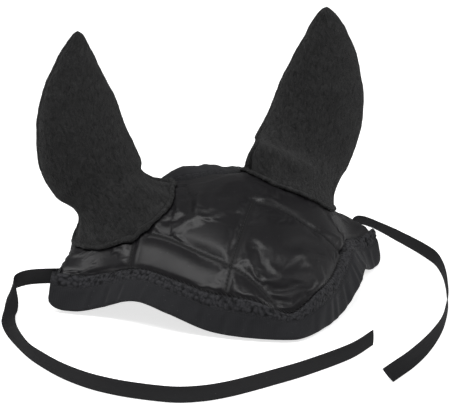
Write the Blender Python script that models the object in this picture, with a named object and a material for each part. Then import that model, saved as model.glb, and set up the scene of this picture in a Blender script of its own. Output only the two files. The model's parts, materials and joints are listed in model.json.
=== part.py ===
"""A small fly bonnet for a riding animal: quilted satin forehead, knit bands, two knit
ears and two satin ribbon ties.  Metres, +Z up, the nose points along -Y, mirror halves
lie on either side of X = 0, and the origin is on the table under the middle of the bonnet.
"""
from math import cos, pi, radians, sin

import bmesh
import bpy
import numpy as np
from mathutils import Vector
from mathutils.bvhtree import BVHTree

# ---------------------------------------------------------------- driving dimensions
HALF_WIDTH = 0.1134          # mid-line to the foot of a cheek flap
NOSE_REACH = 0.1144          # cheek feet forward to the nose tip
POLL_HEIGHT = 0.0700         # table to the rear seam at the mid-line
POLL_REACH = 0.0140          # cheek feet back to the rear seam at the mid-line
ARCH_RISE = 0.0150           # front edge above the table at the top of an eye arch
FRONT_BAND = 0.0230          # height of the wide knit band along the front edge
REAR_BAND = 0.0150           # width of the knit band along the rear edge
FOOT_DIP = 0.0025            # how far the soft front edge is pressed flat on the table
SEAM_STITCH = 0.0020         # seam to the first row of stitches on either band
GATHER_WIDTH = 0.0083        # seam to the end of the gathers on the front band
LINING = 0.0006              # thickness of the lining
WADDING = 0.0020             # thickness of the wadding
SATIN = 0.0006               # thickness of the satin cover
KNIT = 0.0014                # thickness of one ear panel
BAND_THICKNESS = 0.0032      # the folded knit of either band
PLY_GAP = 0.0003             # clearance between touching cloths
SEAM_GAP = 0.0006            # clearance between the panel and either band
EAR_HEIGHT = 0.1130          # ear base to ear tip, straight up
EAR_BASE_HALF_LENGTH = 0.0315  # half of the oval that an ear stands on, sideways
EAR_BASE_HALF_DEPTH = 0.0200  # and front to back
EAR_HALF_WIDTH = 0.0350      # at the widest part of the ear
EAR_PLACE = (0.0590, 0.0200)  # plan position of an ear's base
EAR_BASE_TURN = 14.0         # degrees, outer end of the ear base turned back
EAR_TURN = -9.0              # degrees, outer edge of the ear itself turned forward
EAR_COLLAR_RADIUS = 0.0018   # rolled binding around an ear's base
COLLAR_OVERLAP = 0.0007      # how far an ear's lower rim reaches down behind its collar
COLLAR_END_CLEARANCE = 0.0010  # extra room at the two ends of the ear base
HINGE_RISE = 0.0055          # tilt axis above the middle of the collar
RIBBON_WIDTH = 0.0100
RIBBON_THICKNESS = 0.0008
TAB_WIDTH = 0.0050           # folded end that fastens a ribbon
TAB_THICKNESS = 0.0016
TAB_STATION = 0.965          # where a tab sits on the rear band, from mid-line to cheek
TAB_ROWS = (.25, 1, 1.6)     # from near the rear edge to near the rear seam
THREAD_RADIUS = 0.00030
QUILT_STEP = 0.0060          # spacing of the points along a quilted line

# The quilted lines in plan, from the end nearest the ears, before the move to the middle.
QUILT_LINES = [((-.0540, -.0290), (-.0295, -.0715)), ((-.0255, -.0780), (-.0100, -.0960)),
               ((.0075, -.0325), (-.0245, -.0720)), ((-.0300, -.0785), (-.0345, -.0835)),
               ((.0105, -.0325), (.0560, -.0525)), ((-.0690, -.0200), (-.0770, -.0300))]

COLUMNS = 32                 # facets from cheek to cheek
PANEL_ROWS = 10              # facets from the rear seam to the front seam
EAR_FACETS = 12              # facets round one ear panel
COLLAR_FACETS = 36           # facets round a collar's oval
HOLE_FACETS = 40             # facets round the hole that an ear stands in
THREAD_SIDES = 3
COLLAR_SIDES = 6
RIBBON_POINTS = {"right": 42, "left": 36}
SHARP_ANGLE = 40             # degrees, corners sharper than this aren't shaded smooth

# Shape of the bonnet, as shares of its width, reach and height.  Each row of points runs
# from the mid-line to a cheek flap, at equal steps.
FRONT_EDGE = [(0, -1, 0), (.212, -.879, .030), (.399, -.730, .070), (.578, -.582, .193),
              (.705, -.411, .250), (.820, -.210, .143), (1, 0, -.05)]
FRONT_LEAN = [(0, .52, .55), (-.09, .22, .95), (-.19, .33, .93), (-.35, .50, .78),
              (-.44, .48, .70), (-.35, .48, .80), (-.22, .14, .96)]
CROWN = [(0, -.367, .830), (.176, -.315, .850), (.344, -.175, .835), (.494, -.066, .785),
         (.635, .039, .650), (.785, .080, .455), (.935, .055, .335)]
REAR_SEAM = [(0, .122, 1), (.150, .140, .971), (.282, .262, .914), (.459, .390, .800),
             (.645, .385, .625), (.795, .240, .410), (.918, .080, .330)]
REAR_SWEEP = [(0, .9, .15), (0, .85, .05), (0, .85, -.15), (.05, .85, -.45),
              (.15, .8, -.65), (.12, .70, -.75), (.2, .50, -.85)]

# An ear, from its base up: share of the height, then its middle as sideways and backward
# offsets from the base, its half width and its half depth as shares of the widest.
EAR_SHAPE = [(.18, .108, .060, .985, .56), (.30, .168, .085, .990, .52),
             (.44, .210, .090, .920, .46), (.58, .236, .088, .790, .40),
             (.72, .252, .073, .610, .32), (.85, .256, .057, .395, .22),
             (.94, .252, .045, .215, .13), (.985, .247, .038, .100, .070),
             (1.0, .245, .036, .030, .020)]

# Where the ribbons run, from the tab to the cut end: x, y, z of the middle and the lean
# of the ribbon from upright in degrees.  The first stretch comes down to the table.
RIGHT_ROUTE = [(-.1079, .0497, .0192, 0), (-.1101, .0509, .0205, 0), (-.1137, .0503, .0199, 0),
               (-.1180, .0463, .0176, 4), (-.1240, .0438, .0162, 10), (-.1310, .0423, .0150, 14),
               (-.1375, .0413, .0118, 8), (-.1430, .0363, .0078, 2), (-.1488, .0238, .0056, 0),
               (-.1526, .0118, .0054, 0), (-.1570, -.0052, .0054, 0), (-.1590, -.0242, .0054, 0),
               (-.1595, -.0457, .0054, 0), (-.1575, -.0652, .0054, 0), (-.1540, -.0842, .0054, 0),
               (-.1480, -.1022, .0054, 0), (-.1405, -.1167, .0054, 0), (-.1285, -.1322, .0054, 0),
               (-.1105, -.1482, .0054, 0), (-.0960, -.1535, .0054, 0), (-.0821, -.1542, .0054, 0),
               (-.0671, -.1521, .0054, 0), (-.0447, -.1469, .0054, 0), (-.0209, -.1404, .0054, 0),
               (.0145, -.1265, .0054, 0), (.0384, -.1103, .0054, 0)]
LEFT_ROUTE = [(.1079, .0497, .0192, 0), (.1101, .0509, .0205, 0), (.1132, .0532, .0220, 0),
              (.1180, .0568, .0220, 0), (.1250, .0628, .0195, 0), (.1340, .0668, .0155, 0),
              (.1425, .0668, .0105, 0), (.1490, .0573, .0068, 0), (.1523, .0348, .0054, 0),
              (.1498, .0121, .0054, 0), (.1428, -.0083, .0054, 0), (.1344, -.0273, .0054, 0),
              (.1247, -.0474, .0054, 0), (.1136, -.0685, .0054, 0), (.1012, -.0882, .0054, 0),
              (.0880, -.1068, .0054, 0), (.0730, -.1239, .0053, 8), (.0581, -.1385, .0051, 18),
              (.0419, -.1521, .0048, 28), (.0290, -.1611, .0045, 38), (.0177, -.1688, .0042, 47)]


# ---------------------------------------------------------------- shared helpers
def smooth(points, parameter):
    """A smooth curve through equally spaced points, read at 0 to 1."""
    points = np.array(points, float)
    ends = np.vstack([2 * points[0] - points[1], points, 2 * points[-1] - points[-2]])
    place = np.clip(parameter, 0, 1) * (len(points) - 1)
    first = min(int(place), len(points) - 2)
    part = place - first
    before, start, end, after = ends[first:first + 4]
    return 0.5 * (2 * start + (end - before) * part
                  + (2 * before - 5 * start + 4 * end - after) * part ** 2
                  + (3 * start - before - 3 * end + after) * part ** 3)


def material(name, colour, roughness):
    made = bpy.data.materials.new(name)
    made.use_nodes = True
    shader = made.node_tree.nodes["Principled BSDF"]
    shader.inputs["Base Color"].default_value = (*colour, 1)
    shader.inputs["Roughness"].default_value = roughness
    shader.inputs["Metallic"].default_value = 0
    return made


def add_mesh(name, points, faces, finish):
    """One object from points and faces, moved so that the origin lies under the middle."""
    work = bmesh.new()
    corners = [work.verts.new((p[0], p[1] + TO_MIDDLE, p[2])) for p in points]
    for face in faces:
        work.faces.new([corners[i] for i in face])
    bmesh.ops.recalc_face_normals(work, faces=work.faces)
    mesh = bpy.data.meshes.new(name)
    work.to_mesh(mesh)
    work.free()
    mesh.shade_smooth()
    mesh.set_sharp_from_angle(angle=radians(SHARP_ANGLE))
    made = bpy.data.objects.new(name, mesh)
    bpy.context.collection.objects.link(made)
    made.data.materials.append(finish)
    return made


def slab(inner, outer):
    """Points and faces of the closed solid between two matching grids of points."""
    rows, columns = inner.shape[:2]
    points = [*inner.reshape(-1, 3), *outer.reshape(-1, 3)]
    lift = rows * columns

    def at(row, column, side):
        return side * lift + row * columns + column

    faces = []
    for row in range(rows - 1):
        for column in range(columns - 1):
            for side in (0, 1):
                faces.append([at(row, column, side), at(row, column + 1, side),
                              at(row + 1, column + 1, side), at(row + 1, column, side)])
    for row in range(rows - 1):
        for column in (0, columns - 1):
            faces.append([at(row, column, 0), at(row + 1, column, 0),
                          at(row + 1, column, 1), at(row, column, 1)])
    for column in range(columns - 1):
        for row in (0, rows - 1):
            faces.append([at(row, column, 0), at(row, column + 1, 0),
                          at(row, column + 1, 1), at(row, column, 1)])
    return points, faces


def tube(path, radius, sides, closed):
    """Points and faces of a round tube along a path of points."""
    path = [Vector(p) for p in path]
    points, faces = [], []
    count = len(path)
    side = None
    for index, here in enumerate(path):
        if closed:
            along = path[(index + 1) % count] - path[index - 1]
        else:
            along = path[min(index + 1, count - 1)] - path[max(index - 1, 0)]
        along.normalize()
        if side is None:
            side = along.orthogonal()
        side = (side - along * side.dot(along)).normalized()
        across = along.cross(side)
        for step in range(sides):
            angle = 2 * pi * step / sides
            points.append(here + radius * (cos(angle) * side + sin(angle) * across))
    rings = count if closed else count - 1
    for ring in range(rings):
        following = (ring + 1) % count
        for step in range(sides):
            beside = (step + 1) % sides
            faces.append([ring * sides + step, ring * sides + beside,
                          following * sides + beside, following * sides + step])
    if not closed:
        faces.append(list(range(sides)))
        faces.append([(count - 1) * sides + step for step in range(sides)])
    return points, faces


def mirrored(points):
    return [(-p[0], p[1], p[2]) for p in points]


def unit(vector):
    return vector / np.linalg.norm(vector)


# ---------------------------------------------------------------- the bonnet's surface
def spread(shares, station):
    """A shape point, as shares of the bonnet's size, at a station from mid-line to cheek."""
    x, y, z = smooth(shares, station)
    return np.array([x * HALF_WIDTH, y * NOSE_REACH, z * POLL_HEIGHT])


# Heights above the inner side: the top of the satin, then the two faces of the bands.
TOTAL = LINING + WADDING + SATIN + 2 * PLY_GAP
BAND_LOW = (TOTAL - BAND_THICKNESS) / 2
BAND_HIGH = BAND_LOW + BAND_THICKNESS

# The grid's rows run from the rear edge over the panel to the front edge.  These are the
# rows on the bands, as distances from the seam; the stitches lie on some of them.
REAR_ROWS = [REAR_BAND, (REAR_BAND + SEAM_STITCH) / 2, SEAM_STITCH * 2, SEAM_STITCH]
FRONT_ROWS = [0, SEAM_STITCH, GATHER_WIDTH, (GATHER_WIDTH + FRONT_BAND) / 2, FRONT_BAND]
REAR_ROW = len(REAR_ROWS)
FRONT_ROW = REAR_ROW + PANEL_ROWS
FRONT_EDGE_TOP = max(point[2] for point in FRONT_EDGE) * POLL_HEIGHT


def column_of_points(station):
    """One line over the bonnet, from the rear edge to the front edge."""
    share = abs(station)
    rise = (ARCH_RISE + FOOT_DIP) / FRONT_EDGE_TOP
    rear = spread(REAR_SEAM, share)
    rear[1] += (POLL_REACH - REAR_SEAM[0][1] * NOSE_REACH) * (1 - share)
    crown = spread(CROWN, share)
    edge = spread(FRONT_EDGE, share)
    edge[2] = max(0, edge[2] * rise - FOOT_DIP)
    seam = edge + FRONT_BAND * smooth(FRONT_LEAN, share)
    sweep = unit(smooth(REAR_SWEEP, share))
    line = [rear + sweep * away for away in REAR_ROWS]
    for row in range(PANEL_ROWS):
        part = row / PANEL_ROWS
        line.append(rear * (1 - part) * (1 - 2 * part) + crown * 4 * part * (1 - part)
                    + seam * part * (2 * part - 1))
    line += [seam + (edge - seam) * away / FRONT_BAND for away in FRONT_ROWS]
    line = np.array(line)
    if station < 0:
        line[:, 0] *= -1
    return line


def bonnet_grid():
    """The inner side of the bonnet: rows from rear to front, columns from cheek to cheek."""
    stations = [2 * column / COLUMNS - 1 for column in range(COLUMNS + 1)]
    grid = np.array([column_of_points(station) for station in stations])
    return grid.transpose(1, 0, 2)


def grid_normals(grid):
    """Unit normals of the grid, pointing away from the head."""
    along_rows = np.gradient(grid, axis=0)
    along_columns = np.gradient(grid, axis=1)
    normals = np.cross(along_rows, along_columns)
    normals /= np.linalg.norm(normals, axis=2)[:, :, None]
    middle = normals[grid.shape[0] // 2, grid.shape[1] // 2]
    return normals if middle[2] > 0 else -normals


GRID = bonnet_grid()
NORMALS = grid_normals(GRID)


def row_direction(row, towards):
    """Unit steps from one row towards another, square to the row."""
    along = np.gradient(GRID[row], axis=0)
    along /= np.linalg.norm(along, axis=1)[:, None]
    step = GRID[towards] - GRID[row]
    step -= along * np.sum(step * along, axis=1)[:, None]
    return step / np.linalg.norm(step, axis=1)[:, None]


def stretch_of_grid(first, last, low, high):
    """The solid between two heights over the rows first to last, clear of its neighbours."""
    inner, outer = [], []
    for row in range(first, last + 1):
        line = GRID[row].copy()
        if row == first and first > 0:
            line += SEAM_GAP / 2 * row_direction(row, row + 1)
        if row == last and last < len(GRID) - 1:
            line += SEAM_GAP / 2 * row_direction(row, row - 1)
        away = NORMALS[row].copy()
        if row == len(GRID) - 1:
            away[:, 2] = 0
            away /= np.linalg.norm(away, axis=1)[:, None]
        inner.append(line + away * low)
        outer.append(line + away * high)
    return slab(np.array(inner), np.array(outer))


def middle_of_bands():
    """Halfway between the front of the front band and the back of the rear band."""
    front, _ = stretch_of_grid(FRONT_ROW, len(GRID) - 1, BAND_LOW, BAND_HIGH)
    rear, _ = stretch_of_grid(0, REAR_ROW, BAND_LOW, BAND_HIGH)
    return (min(point[1] for point in front) + max(point[1] for point in rear)) / 2


# The origin lies under the middle of the bonnet, so all of it moves along Y by this much.
TO_MIDDLE = -middle_of_bands()


def on_bonnet(row, station, height):
    """The point at a row, a station from cheek to cheek and a height over the inner side."""
    column = (station + 1) / 2 * COLUMNS
    raised = GRID + NORMALS * height
    top, left = min(int(row), len(GRID) - 2), min(int(column), COLUMNS - 1)
    down, along = row - top, column - left
    upper = raised[top, left] * (1 - along) + raised[top, left + 1] * along
    lower = raised[top + 1, left] * (1 - along) + raised[top + 1, left + 1] * along
    return upper * (1 - down) + lower * down


def surface_tree(height):
    """The bonnet's surface at a height above its inner side, for seating pieces on it."""
    raised = GRID + NORMALS * height
    rows, columns = raised.shape[:2]
    points = [Vector(p) for p in raised.reshape(-1, 3)]
    faces = []
    for row in range(rows - 1):
        for column in range(columns - 1):
            start = row * columns + column
            faces.append((start, start + 1, start + columns + 1, start + columns))
    return BVHTree.FromPolygons(points, faces)


def seat(tree, point, direction):
    """Where a line through the point meets the surface, and the surface's normal there."""
    direction = Vector(direction).normalized()
    hit, normal, _, _ = tree.ray_cast(Vector(point) + direction * POLL_HEIGHT, -direction)
    if normal.dot(direction) < 0:
        normal = -normal
    return np.array(hit), np.array(normal)


# ---------------------------------------------------------------- an ear's base
# The base slopes, so its ends lie closer together in plan than its length.
EAR_BASE_SPAN = EAR_BASE_HALF_LENGTH * 0.88


class EarBase:
    """The frame of the left ear's base (+X side), read from the bonnet's surface."""

    def __init__(self, tree):
        turn = radians(EAR_BASE_TURN)
        long_way = np.array([cos(turn), sin(turn), 0])
        deep_way = np.array([-sin(turn), cos(turn), 0])
        place = np.array([*EAR_PLACE, POLL_HEIGHT / 2])
        up = (0, 0, 1)
        outer, _ = seat(tree, place + long_way * EAR_BASE_SPAN, up)
        inner, _ = seat(tree, place - long_way * EAR_BASE_SPAN, up)
        back, _ = seat(tree, place + deep_way * EAR_BASE_HALF_DEPTH, up)
        front, _ = seat(tree, place - deep_way * EAR_BASE_HALF_DEPTH, up)
        self.long = unit(outer - inner)
        depth = back - front
        self.deep = unit(depth - self.long * np.dot(depth, self.long))
        self.up = np.cross(self.long, self.deep)
        self.middle = (front + back) / 2
        self.tree = tree

    def rim(self, angle, length, depth):
        """A point of the base's oval, seated on the bonnet's surface."""
        flat = self.middle + self.long * length * cos(angle) + self.deep * depth * sin(angle)
        return seat(self.tree, flat, self.up)

    def collar_point(self, angle):
        """The middle of the rolled collar, which lies on the satin round the base."""
        radius = EAR_COLLAR_RADIUS
        hit, normal = self.rim(angle,
                               EAR_BASE_HALF_LENGTH + PLY_GAP + radius + COLLAR_END_CLEARANCE,
                               EAR_BASE_HALF_DEPTH + PLY_GAP + radius)
        return hit + normal * (radius + PLY_GAP)

    def level(self, point):
        """How far a point stands above the middle of the base."""
        return float(np.dot(point - self.middle, self.up))

    def axis_point(self):
        """A point of the line that the ear tilts on, clear above its collar."""
        levels = [self.level(self.collar_point(angle)) for angle in (pi / 2, -pi / 2)]
        return self.middle + self.up * (max(levels) + HINGE_RISE)


RIM_SECTIONS = 3             # sections of an ear below its shape table
EAR_SECTIONS = RIM_SECTIONS + len(EAR_SHAPE)
THIN_SHARE = 0.6             # most of a narrow section's half depth that the knit may fill


def ear_section(base, index, angle, inset):
    """A point of the ear's outline: section 0 is its rim, and the last is its tip."""
    across = cos(angle)
    deep = sin(angle)
    if index < RIM_SECTIONS:
        rim = base.level(base.collar_point(angle)) - COLLAR_OVERLAP
        top = base.level(base.axis_point()) + HINGE_RISE
        height = rim + (top - rim) * index / (RIM_SECTIONS - 1)
        return (base.middle + base.up * height
                + base.long * across * (EAR_BASE_HALF_LENGTH - inset)
                + base.deep * deep * (EAR_BASE_HALF_DEPTH - inset))
    share, sideways, back, width, depth = EAR_SHAPE[index - RIM_SECTIONS]
    middle = base.middle + np.array([sideways, back, share]) * EAR_HEIGHT
    half_width = EAR_HALF_WIDTH * width
    half_depth = EAR_HALF_WIDTH * depth
    thin = min(inset, half_depth * THIN_SHARE)
    blend = min(1, (index - RIM_SECTIONS + 1) / RIM_SECTIONS)
    turn = radians(EAR_TURN)
    long_way = unit(base.long * (1 - blend) + np.array([cos(turn), sin(turn), 0]) * blend)
    rising = unit(base.up * (1 - blend) + np.array([0, 0, 1]) * blend)
    deep_way = np.cross(rising, long_way)
    return (middle + long_way * across * (half_width - thin)
            + deep_way * deep * (half_depth - thin))


def ear_panel(base, back):
    """One knit panel of the left ear, from side seam to side seam."""
    start = 0 if back else pi
    grids = []
    for inset in (KNIT, 0):
        grid = []
        for index in range(EAR_SECTIONS):
            if index < RIM_SECTIONS:
                depth = EAR_BASE_HALF_DEPTH
            else:
                depth = EAR_HALF_WIDTH * EAR_SHAPE[index - RIM_SECTIONS][4]
            edge = PLY_GAP / 2 / max(depth - inset, depth * (1 - THIN_SHARE))
            line = []
            for step in range(EAR_FACETS + 1):
                angle = start + edge + (pi - 2 * edge) * step / EAR_FACETS
                line.append(ear_section(base, index, angle, inset))
            grid.append(line)
        grids.append(np.array(grid))
    return slab(grids[0], grids[1])


# ---------------------------------------------------------------- building the sub-parts
def make_forehead(finishes, base):
    """Lining, wadding and satin cover, each with two oval holes for the ears."""
    heights = [("forehead_lining", 0, LINING, "lining"),
               ("forehead_wadding", LINING + PLY_GAP, LINING + PLY_GAP + WADDING, "wadding"),
               ("forehead_cover", TOTAL - SATIN, TOTAL, "satin")]
    cutters = [ear_hole_cutter(base, side) for side in (1, -1)]
    for name, low, high, finish in heights:
        points, faces = stretch_of_grid(REAR_ROW, FRONT_ROW, low, high)
        layer = add_mesh(name, points, faces, finishes[finish])
        for cutter in cutters:
            cut = layer.modifiers.new("ear_hole", "BOOLEAN")
            cut.operation = "DIFFERENCE"
            cut.object = cutter


def ear_hole_cutter(base, side):
    """An oval prism through the bonnet where an ear stands."""
    sides = HOLE_FACETS
    points = []
    for height in (-EAR_BASE_HALF_LENGTH, EAR_BASE_HALF_LENGTH):
        for step in range(sides):
            angle = 2 * pi * step / sides
            points.append(base.middle + base.up * height
                          + base.long * cos(angle) * (EAR_BASE_HALF_LENGTH + PLY_GAP)
                          + base.deep * sin(angle) * (EAR_BASE_HALF_DEPTH + PLY_GAP))
    faces = [list(range(sides)), list(range(sides, 2 * sides))]
    for step in range(sides):
        beside = (step + 1) % sides
        faces.append([step, beside, sides + beside, sides + step])
    if side < 0:
        points = mirrored(points)
    name = "left_hole_cutter" if side > 0 else "right_hole_cutter"
    cutter = add_mesh(name, points, faces, bpy.data.materials["satin"])
    cutter.hide_render = True
    cutter.display_type = "WIRE"
    return cutter


def make_bands(finishes):
    """The wide band along the front edge and the narrow one along the rear edge."""
    points, faces = stretch_of_grid(FRONT_ROW, len(GRID) - 1, BAND_LOW, BAND_HIGH)
    add_mesh("front_band", points, faces, finishes["knit"])
    points, faces = stretch_of_grid(0, REAR_ROW, BAND_LOW, BAND_HIGH)
    add_mesh("rear_band", points, faces, finishes["knit"])


def make_band_threads(finishes):
    """Rows of stitches that lie on the two bands, along rows of their facets."""
    rows = {"front_seam_thread": FRONT_ROW + 1, "front_gather_thread": FRONT_ROW + 2,
            "rear_seam_thread": REAR_ROW - 1, "rear_top_thread": REAR_ROW - 2}
    height = BAND_HIGH + PLY_GAP + THREAD_RADIUS
    for name, row in rows.items():
        path = [on_bonnet(row, 2 * column / COLUMNS - 1, height)
                for column in range(COLUMNS + 1)]
        points, faces = tube(path, THREAD_RADIUS, THREAD_SIDES, False)
        add_mesh(name, points, faces, finishes["thread"])


def make_quilting(finishes, cover_tree):
    """The stitched lines of the quilting, seated on the satin from straight above."""
    for number, (start, end) in enumerate(QUILT_LINES, 1):
        start, end = np.array(start), np.array(end)
        steps = max(3, round(np.linalg.norm(end - start) / QUILT_STEP))
        path = []
        for step in range(steps + 1):
            x, y = start + (end - start) * step / steps
            hit, normal = seat(cover_tree, (x, y, POLL_HEIGHT / 2), (0, 0, 1))
            path.append(hit + normal * (PLY_GAP + THREAD_RADIUS))
        points, faces = tube(path, THREAD_RADIUS, THREAD_SIDES, False)
        add_mesh(f"quilting_thread_{number}", points, faces, finishes["thread"])


def make_ribbon_tabs(finishes):
    """A folded, stitched end on the rear band that each ribbon leaves from."""
    low = BAND_HIGH + PLY_GAP
    high = low + TAB_THICKNESS
    half = TAB_WIDTH / 2 / HALF_WIDTH
    for side, word in ((1, "left"), (-1, "right")):
        inner, outer = [], []
        for row in TAB_ROWS:
            stations = (side * (TAB_STATION - half), side * (TAB_STATION + half))
            inner.append([on_bonnet(row, station, low) for station in stations])
            outer.append([on_bonnet(row, station, high) for station in stations])
        points, faces = slab(np.array(inner), np.array(outer))
        add_mesh(f"{word}_ribbon_tab", points, faces, finishes["ribbon"])


def make_ears(finishes, base):
    """Two knit panels, a rolled collar and two side-seam threads for each ear."""
    for side, word in ((1, "left"), (-1, "right")):
        for back, place in ((False, "front"), (True, "back")):
            points, faces = ear_panel(base, back)
            if side < 0:
                points = mirrored(points)
            add_mesh(f"{word}_ear_{place}_panel", points, faces, finishes["ear_knit"])
        path = [base.collar_point(2 * pi * step / COLLAR_FACETS) for step in range(COLLAR_FACETS)]
        points, faces = tube(path, EAR_COLLAR_RADIUS, COLLAR_SIDES, True)
        if side < 0:
            points = mirrored(points)
        add_mesh(f"{word}_ear_collar", points, faces, finishes["knit"])
        for angle, place in ((0, "outer"), (pi, "inner")):
            path = [ear_section(base, index, angle, -(PLY_GAP + THREAD_RADIUS))
                    for index in range(RIM_SECTIONS - 1, EAR_SECTIONS - 2)]
            points, faces = tube(path, THREAD_RADIUS, THREAD_SIDES, False)
            if side < 0:
                points = mirrored(points)
            add_mesh(f"{word}_ear_{place}_thread", points, faces, finishes["thread"])


def make_ribbons(finishes):
    """Flat satin ribbons on edge, each along its own route."""
    for word, route in (("right", RIGHT_ROUTE), ("left", LEFT_ROUTE)):
        count = RIBBON_POINTS[word]
        curve = bpy.data.curves.new(f"{word}_ribbon", "CURVE")
        curve.dimensions = "3D"
        curve.twist_mode = "Z_UP"
        spline = curve.splines.new("POLY")
        spline.points.add(count - 1)
        for index in range(count):
            x, y, z, lean = smooth(route, index / (count - 1))
            spline.points[index].co = (x, y, z, 1)
            spline.points[index].tilt = radians(lean)
        curve.bevel_depth = RIBBON_THICKNESS / 2
        curve.bevel_resolution = 0
        curve.extrude = RIBBON_WIDTH / 2 - RIBBON_THICKNESS / 2
        curve.use_fill_caps = True
        ribbon = bpy.data.objects.new(f"{word}_ribbon", curve)
        bpy.context.collection.objects.link(ribbon)
        curve.materials.append(finishes["ribbon"])


def main():
    for old in list(bpy.data.objects):
        bpy.data.objects.remove(old)
    finishes = {"satin": material("satin", (0.020, 0.019, 0.021), 0.32),
                "wadding": material("wadding", (0.55, 0.55, 0.54), 0.9),
                "lining": material("lining", (0.022, 0.022, 0.024), 0.75),
                "knit": material("knit", (0.021, 0.021, 0.023), 0.85),
                "ear_knit": material("ear_knit", (0.020, 0.020, 0.021), 0.92),
                "ribbon": material("ribbon", (0.012, 0.012, 0.014), 0.3),
                "thread": material("thread", (0.016, 0.016, 0.017), 0.6)}
    base = EarBase(surface_tree(TOTAL))
    make_forehead(finishes, base)
    make_quilting(finishes, surface_tree(TOTAL))
    make_bands(finishes)
    make_band_threads(finishes)
    make_ribbon_tabs(finishes)
    make_ears(finishes, base)
    make_ribbons(finishes)


main()
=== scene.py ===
import json
from math import cos, hypot, pi, radians, sin

import bmesh
import bpy
import numpy as np
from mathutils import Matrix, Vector, noise
from mathutils.bvhtree import BVHTree


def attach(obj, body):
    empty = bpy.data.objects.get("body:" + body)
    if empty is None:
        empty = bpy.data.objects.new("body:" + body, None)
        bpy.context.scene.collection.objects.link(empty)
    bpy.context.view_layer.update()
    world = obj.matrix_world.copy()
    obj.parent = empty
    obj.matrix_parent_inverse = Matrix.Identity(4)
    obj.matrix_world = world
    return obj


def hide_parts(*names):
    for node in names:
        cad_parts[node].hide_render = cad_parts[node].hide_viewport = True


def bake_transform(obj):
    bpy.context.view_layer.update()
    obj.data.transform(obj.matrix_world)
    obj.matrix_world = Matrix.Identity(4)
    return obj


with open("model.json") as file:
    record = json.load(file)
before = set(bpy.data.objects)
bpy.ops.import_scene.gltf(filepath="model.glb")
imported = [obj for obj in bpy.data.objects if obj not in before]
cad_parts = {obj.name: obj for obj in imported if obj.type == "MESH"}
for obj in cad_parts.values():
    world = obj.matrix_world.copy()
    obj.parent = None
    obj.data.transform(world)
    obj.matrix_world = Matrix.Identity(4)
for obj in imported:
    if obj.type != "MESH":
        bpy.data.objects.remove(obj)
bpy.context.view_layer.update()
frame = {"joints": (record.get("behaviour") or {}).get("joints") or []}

scene = bpy.context.scene
bpy.ops.object.select_all(action="DESELECT")

# ================================================================= camera
# A long lens looks slightly down on the bonnet from ahead of its right cheek.  The middle
# of the picture lies on the forehead panel, between the two ears.
VIEW_AZIMUTH = radians(-24.33)
VIEW_ELEVATION = radians(16.78)
VIEW_DISTANCE = 1.6
VIEW_TARGET = Vector((0, 0.0223, 0.0559))
VIEW_LENS = 200
back = Vector((sin(VIEW_AZIMUTH) * cos(VIEW_ELEVATION), -cos(VIEW_AZIMUTH) * cos(VIEW_ELEVATION),
               sin(VIEW_ELEVATION)))
bpy.ops.object.camera_add(location=VIEW_TARGET + back * VIEW_DISTANCE,
                          rotation=back.to_track_quat("Z", "Y").to_euler())
camera = bpy.context.object
camera.data.lens = VIEW_LENS
camera.data.sensor_width = 36
scene.camera = camera

# ================================================================= quilted forehead
# Black satin over thin wadding and a tricot lining, sewn through along crossing lines.  The
# satin is a little too large for its place, so it puffs up and creases between the stitches.
HALF_WIDTH = 0.1134          # from the mid-line to a cheek
NOSE_REACH = 0.1144          # from the cheek feet to the nose
POLL_HEIGHT = 0.0700         # top of the rear seam over the table
ARCH_RISE = 0.0150           # how high the lower edge arches between nose and cheek
FRONT_BAND = 0.0230          # widths of the two bands
REAR_BAND = 0.0150
FOOT_DIP = 0.0025            # unsoftened, nose and cheeks would dip this far under the table
FOOT_SOFT = 0.0020           # how softly the lower edge leaves the table
TO_MIDDLE = 0.0288           # cheek feet to the middle of the bonnet
SEAM_SAG = 0.0040            # the rear seam sags beside the right ear
SEAM_SAG_AT = -0.38          # its station: -1 is the right cheek, 1 the left one
SEAM_SAG_REACH = 0.09
# The panel's lines, each from the mid-line to the left cheek.  Their places are shares of the
# half width, the reach and the height; the front band's lean and the rear one's sweep are ways.
FRONT_EDGE = [(0, -1, 0), (.212, -.879, .030), (.399, -.730, .070), (.578, -.582, .193),
              (.705, -.411, .250), (.820, -.210, .112), (1, 0, -.05)]
FRONT_LEAN = [(0, .52, .55), (-.09, .22, .95), (-.19, .33, .93), (-.35, .50, .78),
              (-.44, .48, .70), (-.35, .48, .80), (-.22, .14, .96)]
CROWN = [(0, -.367, .830), (.176, -.315, .850), (.344, -.175, .835), (.494, -.066, .785),
         (.635, .039, .650), (.785, .080, .455), (.935, .055, .335)]
REAR_SEAM = [(0, .122, 1), (.150, .140, .971), (.282, .262, .914), (.459, .390, .800),
             (.645, .385, .625), (.795, .240, .410), (.918, .080, .330)]
REAR_SWEEP = [(0, .9, .15), (0, .85, .05), (0, .85, -.15), (.05, .85, -.45),
              (.15, .8, -.65), (.12, .70, -.75), (.2, .50, -.85)]
EDGE_TOP = max(point[2] for point in FRONT_EDGE)


def smooth(points, parameter):
    """A smooth curve through equally spaced points, read at 0 to 1."""
    points = np.array(points, float)
    ends = np.concatenate([2 * points[:1] - points[1:2], points, 2 * points[-1:] - points[-2:-1]])
    place = np.clip(parameter, 0, 1) * (len(points) - 1)
    first = min(int(place), len(points) - 2)
    part = place - first
    before, start, end, after = ends[first:first + 4]
    return 0.5 * (2 * start + (end - before) * part
                  + (2 * before - 5 * start + 4 * end - after) * part ** 2
                  + (3 * start - before - 3 * end + after) * part ** 3)


def units(vectors):
    """The vectors at a length of one."""
    return vectors / np.linalg.norm(vectors, axis=-1, keepdims=True)


def bell(distance, width):
    """1 where the distance is 0, falling softly to nothing by about two widths."""
    return np.exp(-(distance / width) ** 2)


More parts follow.
